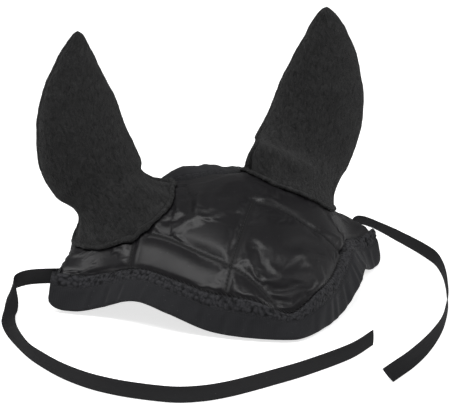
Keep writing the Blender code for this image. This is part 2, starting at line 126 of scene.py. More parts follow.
def run_along(points, axis=0):
    """How far each point lies along its row of points, measured from the row's first."""
    steps = np.linalg.norm(np.diff(points, axis=axis), axis=-1)
    return np.insert(np.cumsum(steps, axis=axis), 0, 0, axis=axis)


def both_sides(rows):
    """A table of the left half with its mirror image before it."""
    return [(-x, y, z) for x, y, z in rows[:0:-1]] + rows


REAR_ROWS, CROWN_ROWS, EDGE_ROWS, LEAN_ROWS, SWEEP_ROWS = (
    both_sides(rows) for rows in (REAR_SEAM, CROWN, FRONT_EDGE, FRONT_LEAN, REAR_SWEEP))


def bonnet_lines(stations):
    """Rear seam, crown, front seam, front edge and the rear band's way, at the stations."""
    size = np.array([HALF_WIDTH, NOSE_REACH, POLL_HEIGHT])
    found = []
    for station in stations:
        rear, crown, edge, lean, sweep = (
            smooth(rows, (1 + station) / 2)
            for rows in (REAR_ROWS, CROWN_ROWS, EDGE_ROWS, LEAN_ROWS, SWEEP_ROWS))
        rear, crown, edge = rear * size, crown * size, edge * size
        over_table = edge[2] * (ARCH_RISE + FOOT_DIP) / (EDGE_TOP * POLL_HEIGHT) - FOOT_DIP
        edge[2] = (over_table + hypot(over_table, FOOT_SOFT)) / 2 - FOOT_SOFT / 8
        rear[2] -= SEAM_SAG * bell(station - SEAM_SAG_AT, SEAM_SAG_REACH)
        lines = np.array([rear, crown, edge + FRONT_BAND * lean, edge, units(sweep)])
        lines[:4, 1] += TO_MIDDLE
        found.append(lines)
    return np.array(found).transpose(1, 0, 2)


def panel_grid(stations, steps):
    """Rows of the forehead's inner side, from the rear seam to the front seam."""
    rear, crown, seam, _, _ = bonnet_lines(stations)
    part = np.asarray(steps)[:, None, None]
    return (rear * (1 - part) * (1 - 2 * part) + crown * 4 * part * (1 - part)
            + seam * part * (2 * part - 1))


def outward(grid):
    """Unit normals of a grid whose rows run from the rear to the front."""
    return units(np.cross(np.gradient(grid, axis=0), np.gradient(grid, axis=1)))


# Each ear stands on an oval hole in the forehead.  The oval is laid on the panel's surface,
# and the ear, its hem and the holes in the cloths all take their place from it.
PANEL_THICKNESS = 0.0038     # lining, wadding and satin together
EAR_BASE_HALF_LENGTH = 0.0315
EAR_BASE_HALF_DEPTH = 0.0200
EAR_BASE_SPAN = EAR_BASE_HALF_LENGTH * 0.88     # where its ends lie, seen from above
EAR_PLACE = (0.0590, 0.0200)            # of the left ear, in plan from between the cheek feet
EAR_BASE_TURN = radians(14)
PROBE_COLUMNS = 61           # of the coarse panel on which the oval is laid
PROBE_ROWS = 41


def grid_faces(rows, columns, ring):
    """Index quads of a grid of points, its columns joined into a ring or not."""
    row = np.arange(rows - 1)[:, None]
    column = np.arange(columns if ring else columns - 1)[None, :]
    beside = (column + 1) % columns
    return np.stack([row * columns + column, row * columns + beside,
                     (row + 1) * columns + beside, (row + 1) * columns + column], -1).reshape(-1, 4)


coarse = panel_grid(np.linspace(0, 1, PROBE_COLUMNS), np.linspace(0, 1, PROBE_ROWS))
coarse = coarse + outward(coarse) * PANEL_THICKNESS
panel_tree = BVHTree.FromPolygons(coarse.reshape(-1, 3).tolist(),
                                  grid_faces(PROBE_ROWS, PROBE_COLUMNS, False).tolist())


def on_panel(point, way):
    """Where a line through the point meets the left half of the satin, and the normal."""
    way = Vector(way).normalized()
    hit, normal, _, _ = panel_tree.ray_cast(Vector(point) + way * POLL_HEIGHT, -way)
    return np.array(hit), np.array(normal if normal.dot(way) > 0 else -normal)


turned = np.array([cos(EAR_BASE_TURN), sin(EAR_BASE_TURN), 0])
crossways = np.array([-sin(EAR_BASE_TURN), cos(EAR_BASE_TURN), 0])
place = np.array([EAR_PLACE[0], EAR_PLACE[1] + TO_MIDDLE, POLL_HEIGHT / 2])
outer_end, inner_end, rear_end, front_end = (
    on_panel(place + step, (0, 0, 1))[0]
    for step in (turned * EAR_BASE_SPAN, -turned * EAR_BASE_SPAN,
                 crossways * EAR_BASE_HALF_DEPTH, -crossways * EAR_BASE_HALF_DEPTH))
BASE_LONG = units(outer_end - inner_end)
BASE_DEEP = rear_end - front_end
BASE_DEEP = units(BASE_DEEP - BASE_LONG * np.dot(BASE_DEEP, BASE_LONG))
BASE_UP = np.cross(BASE_LONG, BASE_DEEP)
BASE_MIDDLE = (rear_end + front_end) / 2


def on_base(points):
    """Places along and across the ears' oval from its middle, both sides folded together."""
    away = np.abs(points * (1, 0, 0)) + points * (0, 1, 1) - BASE_MIDDLE
    return away @ BASE_LONG, away @ BASE_DEEP


def base_oval(points):
    """Places on an ear's oval: 1 on its rim, less inside."""
    long, deep = on_base(points)
    return np.hypot(long / EAR_BASE_HALF_LENGTH, deep / EAR_BASE_HALF_DEPTH)


# Each ear's lower edge spreads over the satin, most in front.  Turns in degrees go round from
# its outer end by way of the rear; the widths are how far it reaches past the oval there.
FLARE_TURNS = (0, 30, 60, 150, 180, 210, 225, 240, 255, 270, 285, 300, 330)
EAR_FLARE = {"right": (.0065, .0030, .0015, .0015, .0008, .0035, .0090, .0145, .0180, .0185, .0165,
                       .0140, .0095),
             "left": (.0022, .0022, .0015, .0030, .0050, .0105, .0150, .0135, .0150, .0170, .0135,
                      .0085, .0034)}
EAR_HOLD = 0.0020            # the satin is sewn down this far past an ear's lower edge


def flare(angle, word):
    """How far an ear's lower edge reaches past its oval at an angle."""
    return np.interp(np.degrees(angle), FLARE_TURNS, EAR_FLARE[word], period=360)


def under_ears(points):
    """Whether places on the satin lie under the spread lower edge of an ear."""
    long, deep = on_base(points)
    angle = np.arctan2(deep / EAR_BASE_HALF_DEPTH, long / EAR_BASE_HALF_LENGTH)
    wide = EAR_HOLD + np.where(points[..., 0] < 0, flare(angle, "right"), flare(angle, "left"))
    return np.hypot(long / (EAR_BASE_HALF_LENGTH + wide), deep / (EAR_BASE_HALF_DEPTH + wide)) < 1


# The stitched lines, as start and end in plan from between the cheek feet.
QUILT_LINES = [((-.0580, -.0225), (-.0085, -.0985)), ((.0085, -.0300), (-.0375, -.0870)),
               ((.0085, -.0300), (.0620, -.0545)), ((-.0660, -.0165), (-.0800, -.0335))]
QUILT_DEPTH = 0.0022         # the stitches pull the satin down by this much
QUILT_REACH = 0.0046         # width of the slope on either side of a line
SEAM_DEPTH = 0.0016          # the satin rolls down into the seams by this much
SEAM_ROLL = 0.0030           # over this width
SEWN_WIDTH = 0.0010          # held this far from a stitched line
STITCH_LINE = 0.0007         # width of the line of painted shade and dullness in which the stitches lie
STITCH_LINE_SHADE = 0.8      # how strong the painted shade and dullness are in its middle
SATIN_THICKNESS = 0.0005
# Loose folds that stand up from the satin, and creases that lie in it.
FOLDS = [((-.0305, -.0010), (-.0385, -.0205)), ((-.0225, -.0190), (-.0290, -.0315)),
         ((.0150, -.0285), (.0330, -.0365)), ((.0400, -.0500), (.0610, -.0440)),
         ((-.0010, -.0800), (.0420, -.0690))]
CREASES = [((-.0235, .0010), (-.0325, -.0250)), ((-.0460, -.0225), (-.0240, -.0338))]
FOLD_HEIGHT = 0.0013
FOLD_REACH = 0.0034
FOLD_START = 0.0020          # folds begin this far from the seams
FOLD_FADE = 0.0060           # and have their full height after this much more
PUFF_LIMIT = 0.0034          # the wadding stops the satin from rising further
SINK_LIMIT = 0.0003          # how far it may sink below its rest place
SLIDE_LIMIT = 0.0020         # how far it may slide sideways
PANEL_COLUMNS = 200
PANEL_ROWS = 104
ARCH_LENGTH = 1.25           # the arch is this much longer than the straight way across
FRAMES = 20                  # of the cloth's short movement
PUFF_PRESSURE = 3.0
SATIN_SPARE = 0.030          # the satin is this share too large

stations = np.linspace(-1, 1, PANEL_COLUMNS)
inner_side = panel_grid(stations, np.linspace(0, 1, PANEL_ROWS))
panel_normals = outward(inner_side)
from_rear = run_along(inner_side)
from_seams = np.minimum(from_rear, from_rear[-1:] - from_rear)
along_arch = np.broadcast_to(stations * HALF_WIDTH * ARCH_LENGTH, from_rear.shape)
flat_places = np.stack([along_arch, from_rear], -1)


def from_lines(points, lines):
    """Distance in plan from each point to the nearest of the quilted lines."""
    near = np.full(points.shape[:-1], 1.0)
    for start, end in lines:
        start, end = (np.array(p) + (0, TO_MIDDLE) for p in (start, end))
        way = end - start
        part = np.clip((points[..., :2] - start) @ way / (way @ way), 0, 1)
        off = points[..., :2] - start - part[..., None] * way
        near = np.minimum(near, np.linalg.norm(off, axis=-1))
    return near


quilt_near = from_lines(inner_side, QUILT_LINES)
quilt_pull = bell(quilt_near, QUILT_REACH)
seam_pull = bell(from_seams, SEAM_ROLL)
inland = np.clip((from_seams - FOLD_START) / FOLD_FADE, 0, 1)
raised = bell(from_lines(inner_side, FOLDS), FOLD_REACH)
sunk = bell(from_lines(inner_side, CREASES), FOLD_REACH)
satin_rest = inner_side + panel_normals * (
    PANEL_THICKNESS - QUILT_DEPTH * quilt_pull - SEAM_DEPTH * seam_pull
    + FOLD_HEIGHT * (raised - sunk) * inland)[..., None]

# The cloths of the panel share one grid, less the faces that lie in the two ear holes.
panel_faces = grid_faces(PANEL_ROWS, PANEL_COLUMNS, False)[:, ::-1]
outside = base_oval(satin_rest).ravel()[panel_faces].max(axis=1) >= 1
KEPT = np.unique(panel_faces[outside])
kept_faces = np.searchsorted(KEPT, panel_faces[outside])


def panel_points(points):
    """The kept points of a panel grid, with those just inside an ear hole moved to its rim."""
    points = points.reshape(-1, 3)[KEPT].copy()
    share = base_oval(points)
    side = np.where(points[:, 0] < 0, -1, 1)[:, None] * (1, 0, 0) + np.array((0, 1, 1))
    away = points * side - BASE_MIDDLE
    level = (away @ BASE_UP)[:, None] * BASE_UP
    onto_rim = (BASE_MIDDLE + level + (away - level) / share[:, None]) * side
    return np.where((share < 1)[:, None], onto_rim, points)


def finished(name, points, faces, flat=None, closed=True):
    """An object from points and faces, facing outwards, with flat places as its UV map."""
    mesh = bpy.data.meshes.new(name)
    mesh.from_pydata(np.asarray(points).reshape(-1, 3).tolist(), [], [list(f) for f in faces])
    if flat is not None:
        spots = np.asarray(flat, float).reshape(-1, 2)
        corners = np.empty(len(mesh.loops), int)
        mesh.loops.foreach_get("vertex_index", corners)
        mesh.uv_layers.new(name="flat").data.foreach_set("uv", spots[corners].ravel())
    if closed:
        work = bmesh.new()
        work.from_mesh(mesh)
        bmesh.ops.recalc_face_normals(work, faces=work.faces)
        work.to_mesh(mesh)
        work.free()
    mesh.shade_smooth()
    made = bpy.data.objects.new(name, mesh)
    scene.collection.objects.link(made)
    return made


def positions(thing):
    """The places of an object's vertices."""
    found = np.empty(len(thing.data.vertices) * 3)
    thing.data.vertices.foreach_get("co", found)
    return found.reshape(-1, 3)


def thickened(sheet, other_side):
    """Gives a sheet its second face: each vertex gets a partner at the other side's place."""
    work = bmesh.new()
    work.from_mesh(sheet.data)
    number = work.verts.layers.int.new("number")
    for index, vertex in enumerate(work.verts):
        vertex[number] = index
    made = bmesh.ops.extrude_face_region(work, geom=work.faces[:], use_keep_orig=True)
    for part in made["geom"]:
        if isinstance(part, bmesh.types.BMVert):
            part.co = other_side[part[number]]
    work.verts.layers.int.remove(number)
    bmesh.ops.recalc_face_normals(work, faces=work.faces)
    work.to_mesh(sheet.data)
    work.free()
    sheet.data.shade_smooth()


def puffed(sheet, held, pressure, spare):
    """Lets the sheet puff up as cloth that is held where it is sewn, and keeps the result."""
    sheet.vertex_groups.new(name="sewn").add(np.flatnonzero(held).tolist(), 1, "REPLACE")
    cloth = sheet.modifiers.new("cloth", "CLOTH")
    cloth.settings.vertex_group_mass = "sewn"
    cloth.settings.quality = 5
    cloth.settings.mass = 0.1
    cloth.settings.bending_stiffness = 0.02
    cloth.settings.shrink_min = -spare
    cloth.settings.use_pressure = True
    cloth.settings.uniform_pressure_force = pressure
    cloth.settings.effector_weights.gravity = 0
    cloth.collision_settings.use_collision = False
    for frame_number in range(1, FRAMES + 1):
        scene.frame_set(frame_number)
    bpy.context.view_layer.objects.active = sheet
    bpy.ops.object.modifier_apply(modifier=cloth.name)
    sheet.vertex_groups.clear()
    scene.frame_set(1)


normals_kept = panel_normals.reshape(-1, 3)[KEPT]
satin = finished("quilted_satin", panel_points(satin_rest), kept_faces,
                 flat_places.reshape(-1, 2)[KEPT], closed=False)
rest = positions(satin)
sewn = (quilt_near.ravel()[KEPT] < SEWN_WIDTH) | (from_seams.ravel()[KEPT] < SEWN_WIDTH * 2)
sewn |= under_ears(rest) | (np.abs(rest[:, 0]) > np.abs(rest[:, 0]).max() - SEWN_WIDTH)
puffed(satin, sewn, PUFF_PRESSURE, SATIN_SPARE)
moved = positions(satin) - rest
rise = np.clip(np.sum(moved * normals_kept, axis=1), -SINK_LIMIT, PUFF_LIMIT)[:, None]
slide = moved - np.sum(moved * normals_kept, axis=1)[:, None] * normals_kept
slide *= SLIDE_LIMIT / np.maximum(np.linalg.norm(slide, axis=1), SLIDE_LIMIT)[:, None]
satin_top = rest + normals_kept * rise + slide
satin.data.vertices.foreach_set("co", satin_top.ravel())
# A mask of painted shade along the stitched creases, which also dulls the satin there: the satin's colour
# and roughness both read it.
crease_shade_and_dullness = satin.data.attributes.new("crease_shade_and_dullness", "FLOAT", "POINT")
crease_shade_and_dullness.data.foreach_set("value", STITCH_LINE_SHADE * bell(quilt_near.ravel()[KEPT], STITCH_LINE))
thickened(satin, satin_top - normals_kept * SATIN_THICKNESS)

# The wadding fills what the satin leaves above the lining, which the same stitches hold.
LINING_THICKNESS = 0.0005
LINING_PUFF = 0.0007
WADDING_INSET = 0.0016       # cut back this far from the two seams
WADDING_END = 0.985          # and to this share of the way to each cheek
WADDING_CLEAR = 1.05         # and to this share of an ear hole's own size round it
WADDING_SLACK = 0.0001       # room between it and the cloths
lining_low = inner_side - panel_normals * (LINING_PUFF * (1 - quilt_pull) * (1 - seam_pull))[..., None]
lining_low = panel_points(lining_low)
lining = finished("tricot_lining", lining_low + normals_kept * LINING_THICKNESS, kept_faces,
                  flat_places.reshape(-1, 2)[KEPT], closed=False)
thickened(lining, lining_low)
station_kept = np.broadcast_to(stations, from_rear.shape).ravel()[KEPT]
filled = (from_seams.ravel()[KEPT] > WADDING_INSET) & (np.abs(station_kept) < WADDING_END)
filled &= base_oval(rest) > WADDING_CLEAR
filled_faces = kept_faces[filled[kept_faces].all(axis=1)]
filled_points = np.unique(filled_faces)
top_side = satin_top - normals_kept * (SATIN_THICKNESS + WADDING_SLACK)
low_side = lining_low + normals_kept * (LINING_THICKNESS + WADDING_SLACK)
wadding = finished("polyester_wadding", top_side[filled_points],
                   np.searchsorted(filled_points, filled_faces), closed=False)
thickened(wadding, low_side[filled_points])


def effect(name, inputs, outputs):
    """An empty node group with named number or vector sockets."""
    group = bpy.data.node_groups.new(name, "ShaderNodeTree")
    for socket, kind, value in inputs:
        made = group.interface.new_socket(socket, in_out="INPUT", socket_type=kind)
        if kind == "NodeSocketFloat":
            made.default_value = value
    for socket, kind in outputs:
        group.interface.new_socket(socket, in_out="OUTPUT", socket_type=kind)
    return group, group.nodes.new("NodeGroupInput"), group.nodes.new("NodeGroupOutput")


def node(tree, kind, **settings):
    """A node with its settings, and its input values where the name is a socket's."""
    made = tree.nodes.new(kind)
    for name, value in settings.items():
        if hasattr(made, name):
            setattr(made, name, value)
        else:
            made.inputs[name.replace("_", " ")].default_value = value
    return made


# Lint: pale specks and soft cloudy shade changes that every black cloth here carries.
lint, lint_in, lint_out = effect(
    "lint", [("Vector", "NodeSocketVector", None), ("Speck size", "NodeSocketFloat", .0015),
             ("Specks", "NodeSocketFloat", .05), ("Cloud size", "NodeSocketFloat", .02)],
    [("Speck", "NodeSocketFloat"), ("Cloud", "NodeSocketFloat")])
speck_scale = node(lint, "ShaderNodeMath", operation="DIVIDE")
speck_scale.inputs[0].default_value = 1
cloud_scale = node(lint, "ShaderNodeMath", operation="DIVIDE")
cloud_scale.inputs[0].default_value = 1
speck_cells = node(lint, "ShaderNodeTexVoronoi", Randomness=1)
speck_near = node(lint, "ShaderNodeMath", operation="LESS_THAN")
speck_pick = node(lint, "ShaderNodeSeparateColor")
speck_rare = node(lint, "ShaderNodeMath", operation="LESS_THAN")
speck_both = node(lint, "ShaderNodeMath", operation="MULTIPLY")
clouds = node(lint, "ShaderNodeTexNoise", Detail=3, Roughness=.6)
speck_near.inputs[1].default_value = .32
join = lint.links.new
join(lint_in.outputs["Speck size"], speck_scale.inputs[1])
join(lint_in.outputs["Cloud size"], cloud_scale.inputs[1])
join(lint_in.outputs["Vector"], speck_cells.inputs["Vector"])
join(speck_scale.outputs[0], speck_cells.inputs["Scale"])
join(speck_cells.outputs["Distance"], speck_near.inputs[0])
join(speck_cells.outputs["Color"], speck_pick.inputs["Color"])
join(speck_pick.outputs["Red"], speck_rare.inputs[0])
join(lint_in.outputs["Specks"], speck_rare.inputs[1])
join(speck_near.outputs[0], speck_both.inputs[0])
join(speck_rare.outputs[0], speck_both.inputs[1])
join(lint_in.outputs["Vector"], clouds.inputs["Vector"])
join(cloud_scale.outputs[0], clouds.inputs["Scale"])
join(speck_both.outputs[0], lint_out.inputs["Speck"])
join(clouds.outputs["Fac"], lint_out.inputs["Cloud"])

# Weave: fine ridges along and across a cloth's own flat places, in metres.
weave, weave_in, weave_out = effect(
    "weave", [("Vector", "NodeSocketVector", None), ("Pitch along", "NodeSocketFloat", .001),
              ("Pitch across", "NodeSocketFloat", .001), ("Waver", "NodeSocketFloat", .1)],
    [("Along", "NodeSocketFloat"), ("Across", "NodeSocketFloat")])
join = weave.links.new
waver = node(weave, "ShaderNodeTexNoise", Scale=180, Detail=1)
waver_size = node(weave, "ShaderNodeMath", operation="MULTIPLY")
parts = node(weave, "ShaderNodeSeparateXYZ")
join(weave_in.outputs["Vector"], waver.inputs["Vector"])
join(waver.outputs["Fac"], waver_size.inputs[0])
join(weave_in.outputs["Waver"], waver_size.inputs[1])
join(weave_in.outputs["Vector"], parts.inputs[0])
for axis, pitch, result in (("X", "Pitch along", "Along"), ("Y", "Pitch across", "Across")):
    turns = node(weave, "ShaderNodeMath", operation="DIVIDE")
    shifted = node(weave, "ShaderNodeMath", operation="ADD")
    ridge = node(weave, "ShaderNodeMath", operation="PINGPONG")
    ridge.inputs[1].default_value = .5
    join(parts.outputs[axis], turns.inputs[0])
    join(weave_in.outputs[pitch], turns.inputs[1])
    join(turns.outputs[0], shifted.inputs[0])
    join(waver_size.outputs[0], shifted.inputs[1])
    join(shifted.outputs[0], ridge.inputs[0])
    join(ridge.outputs[0], weave_out.inputs[result])


def placed(tree, group, vector, **values):
    """A group node in a material, with its own values."""
    made = tree.nodes.new("ShaderNodeGroup")
    made.node_tree = group
    tree.links.new(vector, made.inputs["Vector"])
    for name, value in values.items():
        made.inputs[name.replace("_", " ")].default_value = value
    return made


def blended(tree, mask, low, high, kind="RGBA"):
    """A mix from low to high by a mask; colours by default, or numbers."""
    mix = tree.nodes.new("ShaderNodeMix")
    mix.data_type = kind
    tree.links.new(mask, mix.inputs["Factor"])
    first_end, result = (6, 2) if kind == "RGBA" else (2, 0)    # the node's sockets of that kind
    for socket, value in zip((first_end, first_end + 1), (low, high)):
        if isinstance(value, bpy.types.NodeSocket):
            tree.links.new(value, mix.inputs[socket])
        else:
            mix.inputs[socket].default_value = (*value, 1) if kind == "RGBA" else value
    return mix.outputs[result]


def coloured(tree, dust, cloth_colour, lint_colour, shader):
    """The cloth's colour, with the lint's specks on it, into the shader."""
    tree.links.new(blended(tree, dust.outputs["Speck"], cloth_colour, lint_colour),
                   shader.inputs["Base Color"])


def relief(tree, steps, shader):
    """Bump nodes in a row, each a (height, distance, strength), into the shader's normal."""
    last = None
    for height, distance, strength in steps:
        bump = node(tree, "ShaderNodeBump", Distance=distance, Strength=strength)
        tree.links.new(height, bump.inputs["Height"])
        if last:
            tree.links.new(last, bump.inputs["Normal"])
        last = bump.outputs["Normal"]
    tree.links.new(last, shader.inputs["Normal"])


def new_finish(name, roughness, specular, sheen=0.0, sheen_roughness=0.5):
    """A material with its shader and the two places that its patterns read."""
    made = bpy.data.materials.new(name)
    made.use_nodes = True
    tree = made.node_tree
    shader = tree.nodes["Principled BSDF"]
    shader.inputs["Roughness"].default_value = roughness
    shader.inputs["Specular IOR Level"].default_value = specular
    shader.inputs["Sheen Weight"].default_value = sheen
    shader.inputs["Sheen Roughness"].default_value = sheen_roughness
    spot = tree.nodes.new("ShaderNodeTexCoord").outputs["Object"]
    flat = tree.nodes.new("ShaderNodeUVMap")
    flat.uv_map = "flat"
    return made, tree, shader, spot, flat.outputs[0]


SATIN_COLOUR = (.0042, .0038, .0047)
SATIN_WORN_COLOUR = (.0068, .0061, .0077)
# Painted shade in the stitched creases.
SATIN_CREASE_SHADE_COLOUR = (.004, .004, .004)
SATIN_LINT = (.035, .035, .038)
satin_cloth, tree, shader, spot, flat = new_finish("quilting_satin", .34, .32)
threads = placed(tree, weave, flat, Pitch_along=.0005, Pitch_across=.0004, Waver=.4)
dust = placed(tree, lint, spot, Speck_size=.0010, Specks=.010, Cloud_size=.015)
cloth_colour = blended(tree, dust.outputs["Cloud"], SATIN_COLOUR, SATIN_WORN_COLOUR)
# Along the stitched lines the satin's colour is darkened as painted shade in the creases, and its
# roughness is raised.
crease_shade_and_dull = node(tree, "ShaderNodeAttribute", attribute_name="crease_shade_and_dullness")
cloth_colour = blended(tree, crease_shade_and_dull.outputs["Fac"], cloth_colour, SATIN_CREASE_SHADE_COLOUR)
coloured(tree, dust, cloth_colour, SATIN_LINT, shader)
glancing = node(tree, "ShaderNodeLayerWeight", Blend=.35)
gloss = blended(tree, dust.outputs["Cloud"], .26, .36, "FLOAT")
gloss = blended(tree, glancing.outputs["Facing"], gloss, .75, "FLOAT")
tree.links.new(blended(tree, crease_shade_and_dull.outputs["Fac"], gloss, 1, "FLOAT"), shader.inputs["Roughness"])
creases = node(tree, "ShaderNodeTexNoise", Scale=120, Detail=2, Distortion=.6)
tree.links.new(spot, creases.inputs["Vector"])
relief(tree, [(creases.outputs["Fac"], .0006, .2), (threads.outputs["Along"], .00005, .4),
              (threads.outputs["Across"], .00005, .4)], shader)
satin.data.materials.append(satin_cloth)

LINING_COLOUR = (.016, .016, .017)
LINING_RIB_COLOUR = (.026, .026, .028)
LINING_LINT = (.08, .08, .08)
lining_cloth, tree, shader, spot, flat = new_finish("lining_tricot", .75, .25, sheen=.05)
threads = placed(tree, weave, flat, Pitch_along=.0009, Pitch_across=.0011, Waver=.6)
dust = placed(tree, lint, spot, Speck_size=.0012, Specks=.03, Cloud_size=.02)
cloth_colour = blended(tree, threads.outputs["Along"], LINING_COLOUR, LINING_RIB_COLOUR)
coloured(tree, dust, cloth_colour, LINING_LINT, shader)
relief(tree, [(threads.outputs["Along"], .00015, .6), (threads.outputs["Across"], .0001, .5)], shader)
lining.data.materials.append(lining_cloth)

WADDING_COLOUR = (.42, .42, .41)
WADDING_PALE_COLOUR = (.66, .66, .65)
wadding_fibre, tree, shader, spot, _ = new_finish("wadding_fibre", .95, .1, sheen=.2)
fibres = node(tree, "ShaderNodeTexNoise", Scale=900, Detail=4, Distortion=2)
tree.links.new(spot, fibres.inputs["Vector"])
tree.links.new(blended(tree, fibres.outputs["Fac"], WADDING_COLOUR, WADDING_PALE_COLOUR),
               shader.inputs["Base Color"])
relief(tree, [(fibres.outputs["Fac"], .0004, .7)], shader)
wadding.data.materials.append(wadding_fibre)

for piece, solid, slot in ((satin, "forehead_cover", "satin"), (lining, "forehead_lining", "lining"),
                           (wadding, "forehead_wadding", "wadding")):
    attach(piece, "bonnet")
    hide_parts(solid)

# ================================================================= knit bands
# Strips of fine black knit, folded in half and sewn over the panel's edges.  The wide front
# one is gathered into its seam, the narrow rear one has two rows of top stitching.
BAND_LOW = 0.0003            # a folded strip's inner side over the panel's inner side
BAND_HIGH = 0.0035           # and its outer side
BAND_FOLD = (BAND_HIGH - BAND_LOW) / 2  # radius of the folded edge
BAND_PLY = 0.0012            # thickness of one ply
TABLE_CLEAR = 0.0001         # nothing of a band lies lower than this
GATHER_PITCH = 0.0029
GATHER_WIDTH = 0.0083
GATHER_HEIGHT = 0.00085
GATHER_SLANT = 150           # turns of the gathers' pattern per metre away from the seam
GATHER_MIDDLE = GATHER_WIDTH * .52      # a thread runs here between two rows of gathers
GUTTER_DEPTH = 0.0007        # of the groove where the gathers end
BULGE_HEIGHT = 0.0007        # of the gathered strip as a whole
FRONT_WAVES = 0.00035        # height of the soft waves past the gathers
REAR_WAVES = 0.0003
STITCH_ROWS = (0.0020, 0.0040)          # the rear band's, from its seam
STITCH_PULL = 0.0004         # the stitches draw the knit down by this much
SEAM_SINK = 0.0014           # and the seams by this much
SEAM_TUCK = 0.0009           # the bands reach this far back over the satin's edge
SEAM_BLEND = 0.0060          # beside the seam a band takes up the panel's own slope
SWAY_RISE = 0.0100           # its sway is full this far from the seam
END_ROUNDING = 0.8           # its rounded ends draw back by this share of their radius
END_TAPER = 0.0250           # its ends reach out over this last length
# How high the free edges sway, at some stations.
FRONT_SWAY = ((-1, .0010), (-.8, 0), (1, 0))
REAR_SWAY = ((-1, .0006), (-.94, 0), (-.84, -.0035), (-.62, 0), (-.42, -.0010), (-.28, -.0012),
             (-.20, .0022), (-.13, .0034), (-.04, .0008), (.05, .0006), (.12, -.0006), (.22, .0010),
             (.8, .0010), (.92, .0030), (1, .0010))
INNER_RELIEF = -0.3          # share of the outer side's relief that shows inside
STEPS_PER_GATHER = 8
REAR_STEP = 0.0008           # from one ring of the rear band to the next
OUTER_STEPS = 30             # points across a strip's outer side, to its fold
FOLD_STEPS = 8
INNER_STEPS = 12
PLY_STEPS = 4


def along_line(which, spacing):
    """Stations that are evenly spaced along one of the bonnet's lines, and their run."""
    trial = np.linspace(-1, 1, 401)
    run = run_along(bonnet_lines(trial)[which])
    wanted = np.linspace(0, run[-1], int(run[-1] / spacing))
    return np.interp(wanted, run, trial), wanted


def folded_outline(width):
    """The section of a folded strip: distance from the seam, height and how far it is outside."""
    middle = (BAND_LOW + BAND_HIGH) / 2
    turn = width - BAND_FOLD
    outline = [(turn * i / OUTER_STEPS, BAND_HIGH, 1) for i in range(OUTER_STEPS + 1)]
    outline += [(turn + BAND_FOLD * cos(a), middle + BAND_FOLD * sin(a), (1 + sin(a)) / 2)
                for a in np.linspace(pi / 2, -pi / 2, FOLD_STEPS + 1)[1:]]
    outline += [(turn * (1 - i / INNER_STEPS), BAND_LOW, INNER_RELIEF) for i in range(1, INNER_STEPS + 1)]
    outline += [(turn * i / PLY_STEPS, BAND_LOW + BAND_PLY, 0) for i in range(PLY_STEPS + 1)]
    outline += [(turn * (1 - i / PLY_STEPS), BAND_HIGH - BAND_PLY, 0) for i in range(PLY_STEPS + 1)]
    return np.array(outline)


def outer_index(away, width):
    """The point of the strip's outline that lies on its outer side this far from the seam."""
    return round(away / (width - BAND_FOLD) * OUTER_STEPS)


def wrapped(name, rings, flat):
    """A closed solid from rings of points, capped at both ends."""
    rows, columns = rings.shape[:2]
    faces = grid_faces(rows, columns, True).tolist()
    faces += [list(range(columns)), list(range((rows - 1) * columns, rows * columns))]
    return finished(name, rings, faces, flat)


def band(name, seam_line, spacing, width, ways, panel_part, lift, sway, end_round, end_reach):
    """A folded strip along a seam; its lift is the relief at each run and distance.

    Its sway raises the free edge at some stations.  Its ends are rounded and reach out, each by
    its own length: first the right one, then the left one.
    """
    stations, run = along_line(seam_line, spacing)
    lines = bonnet_lines(stations)
    seam = lines[seam_line]
    way, lengths = ways(lines)
    beside = units(np.gradient(seam, axis=0))
    sign = 1 if seam_line == 2 else -1
    face = units(np.cross(way, beside)) * sign
    panel_face = outward(panel_grid(stations, panel_part))[0 if seam_line == 0 else -1]
    outline = folded_outline(width)
    away, height, outside = outline.T
    close = bell(away, SEAM_BLEND)[None, :, None]
    normal = units(face[:, None] * (1 - close) + units(face + panel_face)[:, None] * close)
    height = height[None] + outside[None] * lift(run[:, None], away[None])
    height = height + np.interp(stations, *zip(*sway))[:, None] * np.clip(away / SWAY_RISE, 0, 1)[None]
    to_end = np.minimum(run, run[-1] - run)
    corner = np.sqrt(1 - np.clip(1 - to_end / end_round, 0, 1) ** 2)
    shrink = (1 - corner) * end_round * END_ROUNDING
    share = away / width
    reach = share[None] * (lengths - shrink)[:, None]
    out = np.where(stations < 0, -end_reach[0], end_reach[1])
    out = out * np.clip(1 - to_end / END_TAPER, 0, 1) ** 2
    seam = seam + beside * out[:, None] - way * SEAM_TUCK
    rings = seam[:, None] + way[:, None] * reach[..., None] + normal * height[..., None]
    rings[..., 2] = np.maximum(rings[..., 2], TABLE_CLEAR)
    flat = np.stack(np.broadcast_arrays(run[:, None], away[None]), -1)
    made = wrapped(name, rings, flat)
    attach(made, "bonnet")
    return made, stations, rings


def front_ways(lines):
    """The front band reaches from its seam to the bonnet's edge."""
    way = lines[3] - lines[2]
    return units(way), np.linalg.norm(way, axis=1)


def rear_ways(lines):
    """The rear band has its own way and one width."""
    return lines[4], np.full(len(lines[4]), REAR_BAND)


def slow_change(run, length, row):
    """A slow change from -1 to 1 along a band."""
    return np.array([noise.noise((r / length, row, 0)) for r in run.ravel()])[:, None]


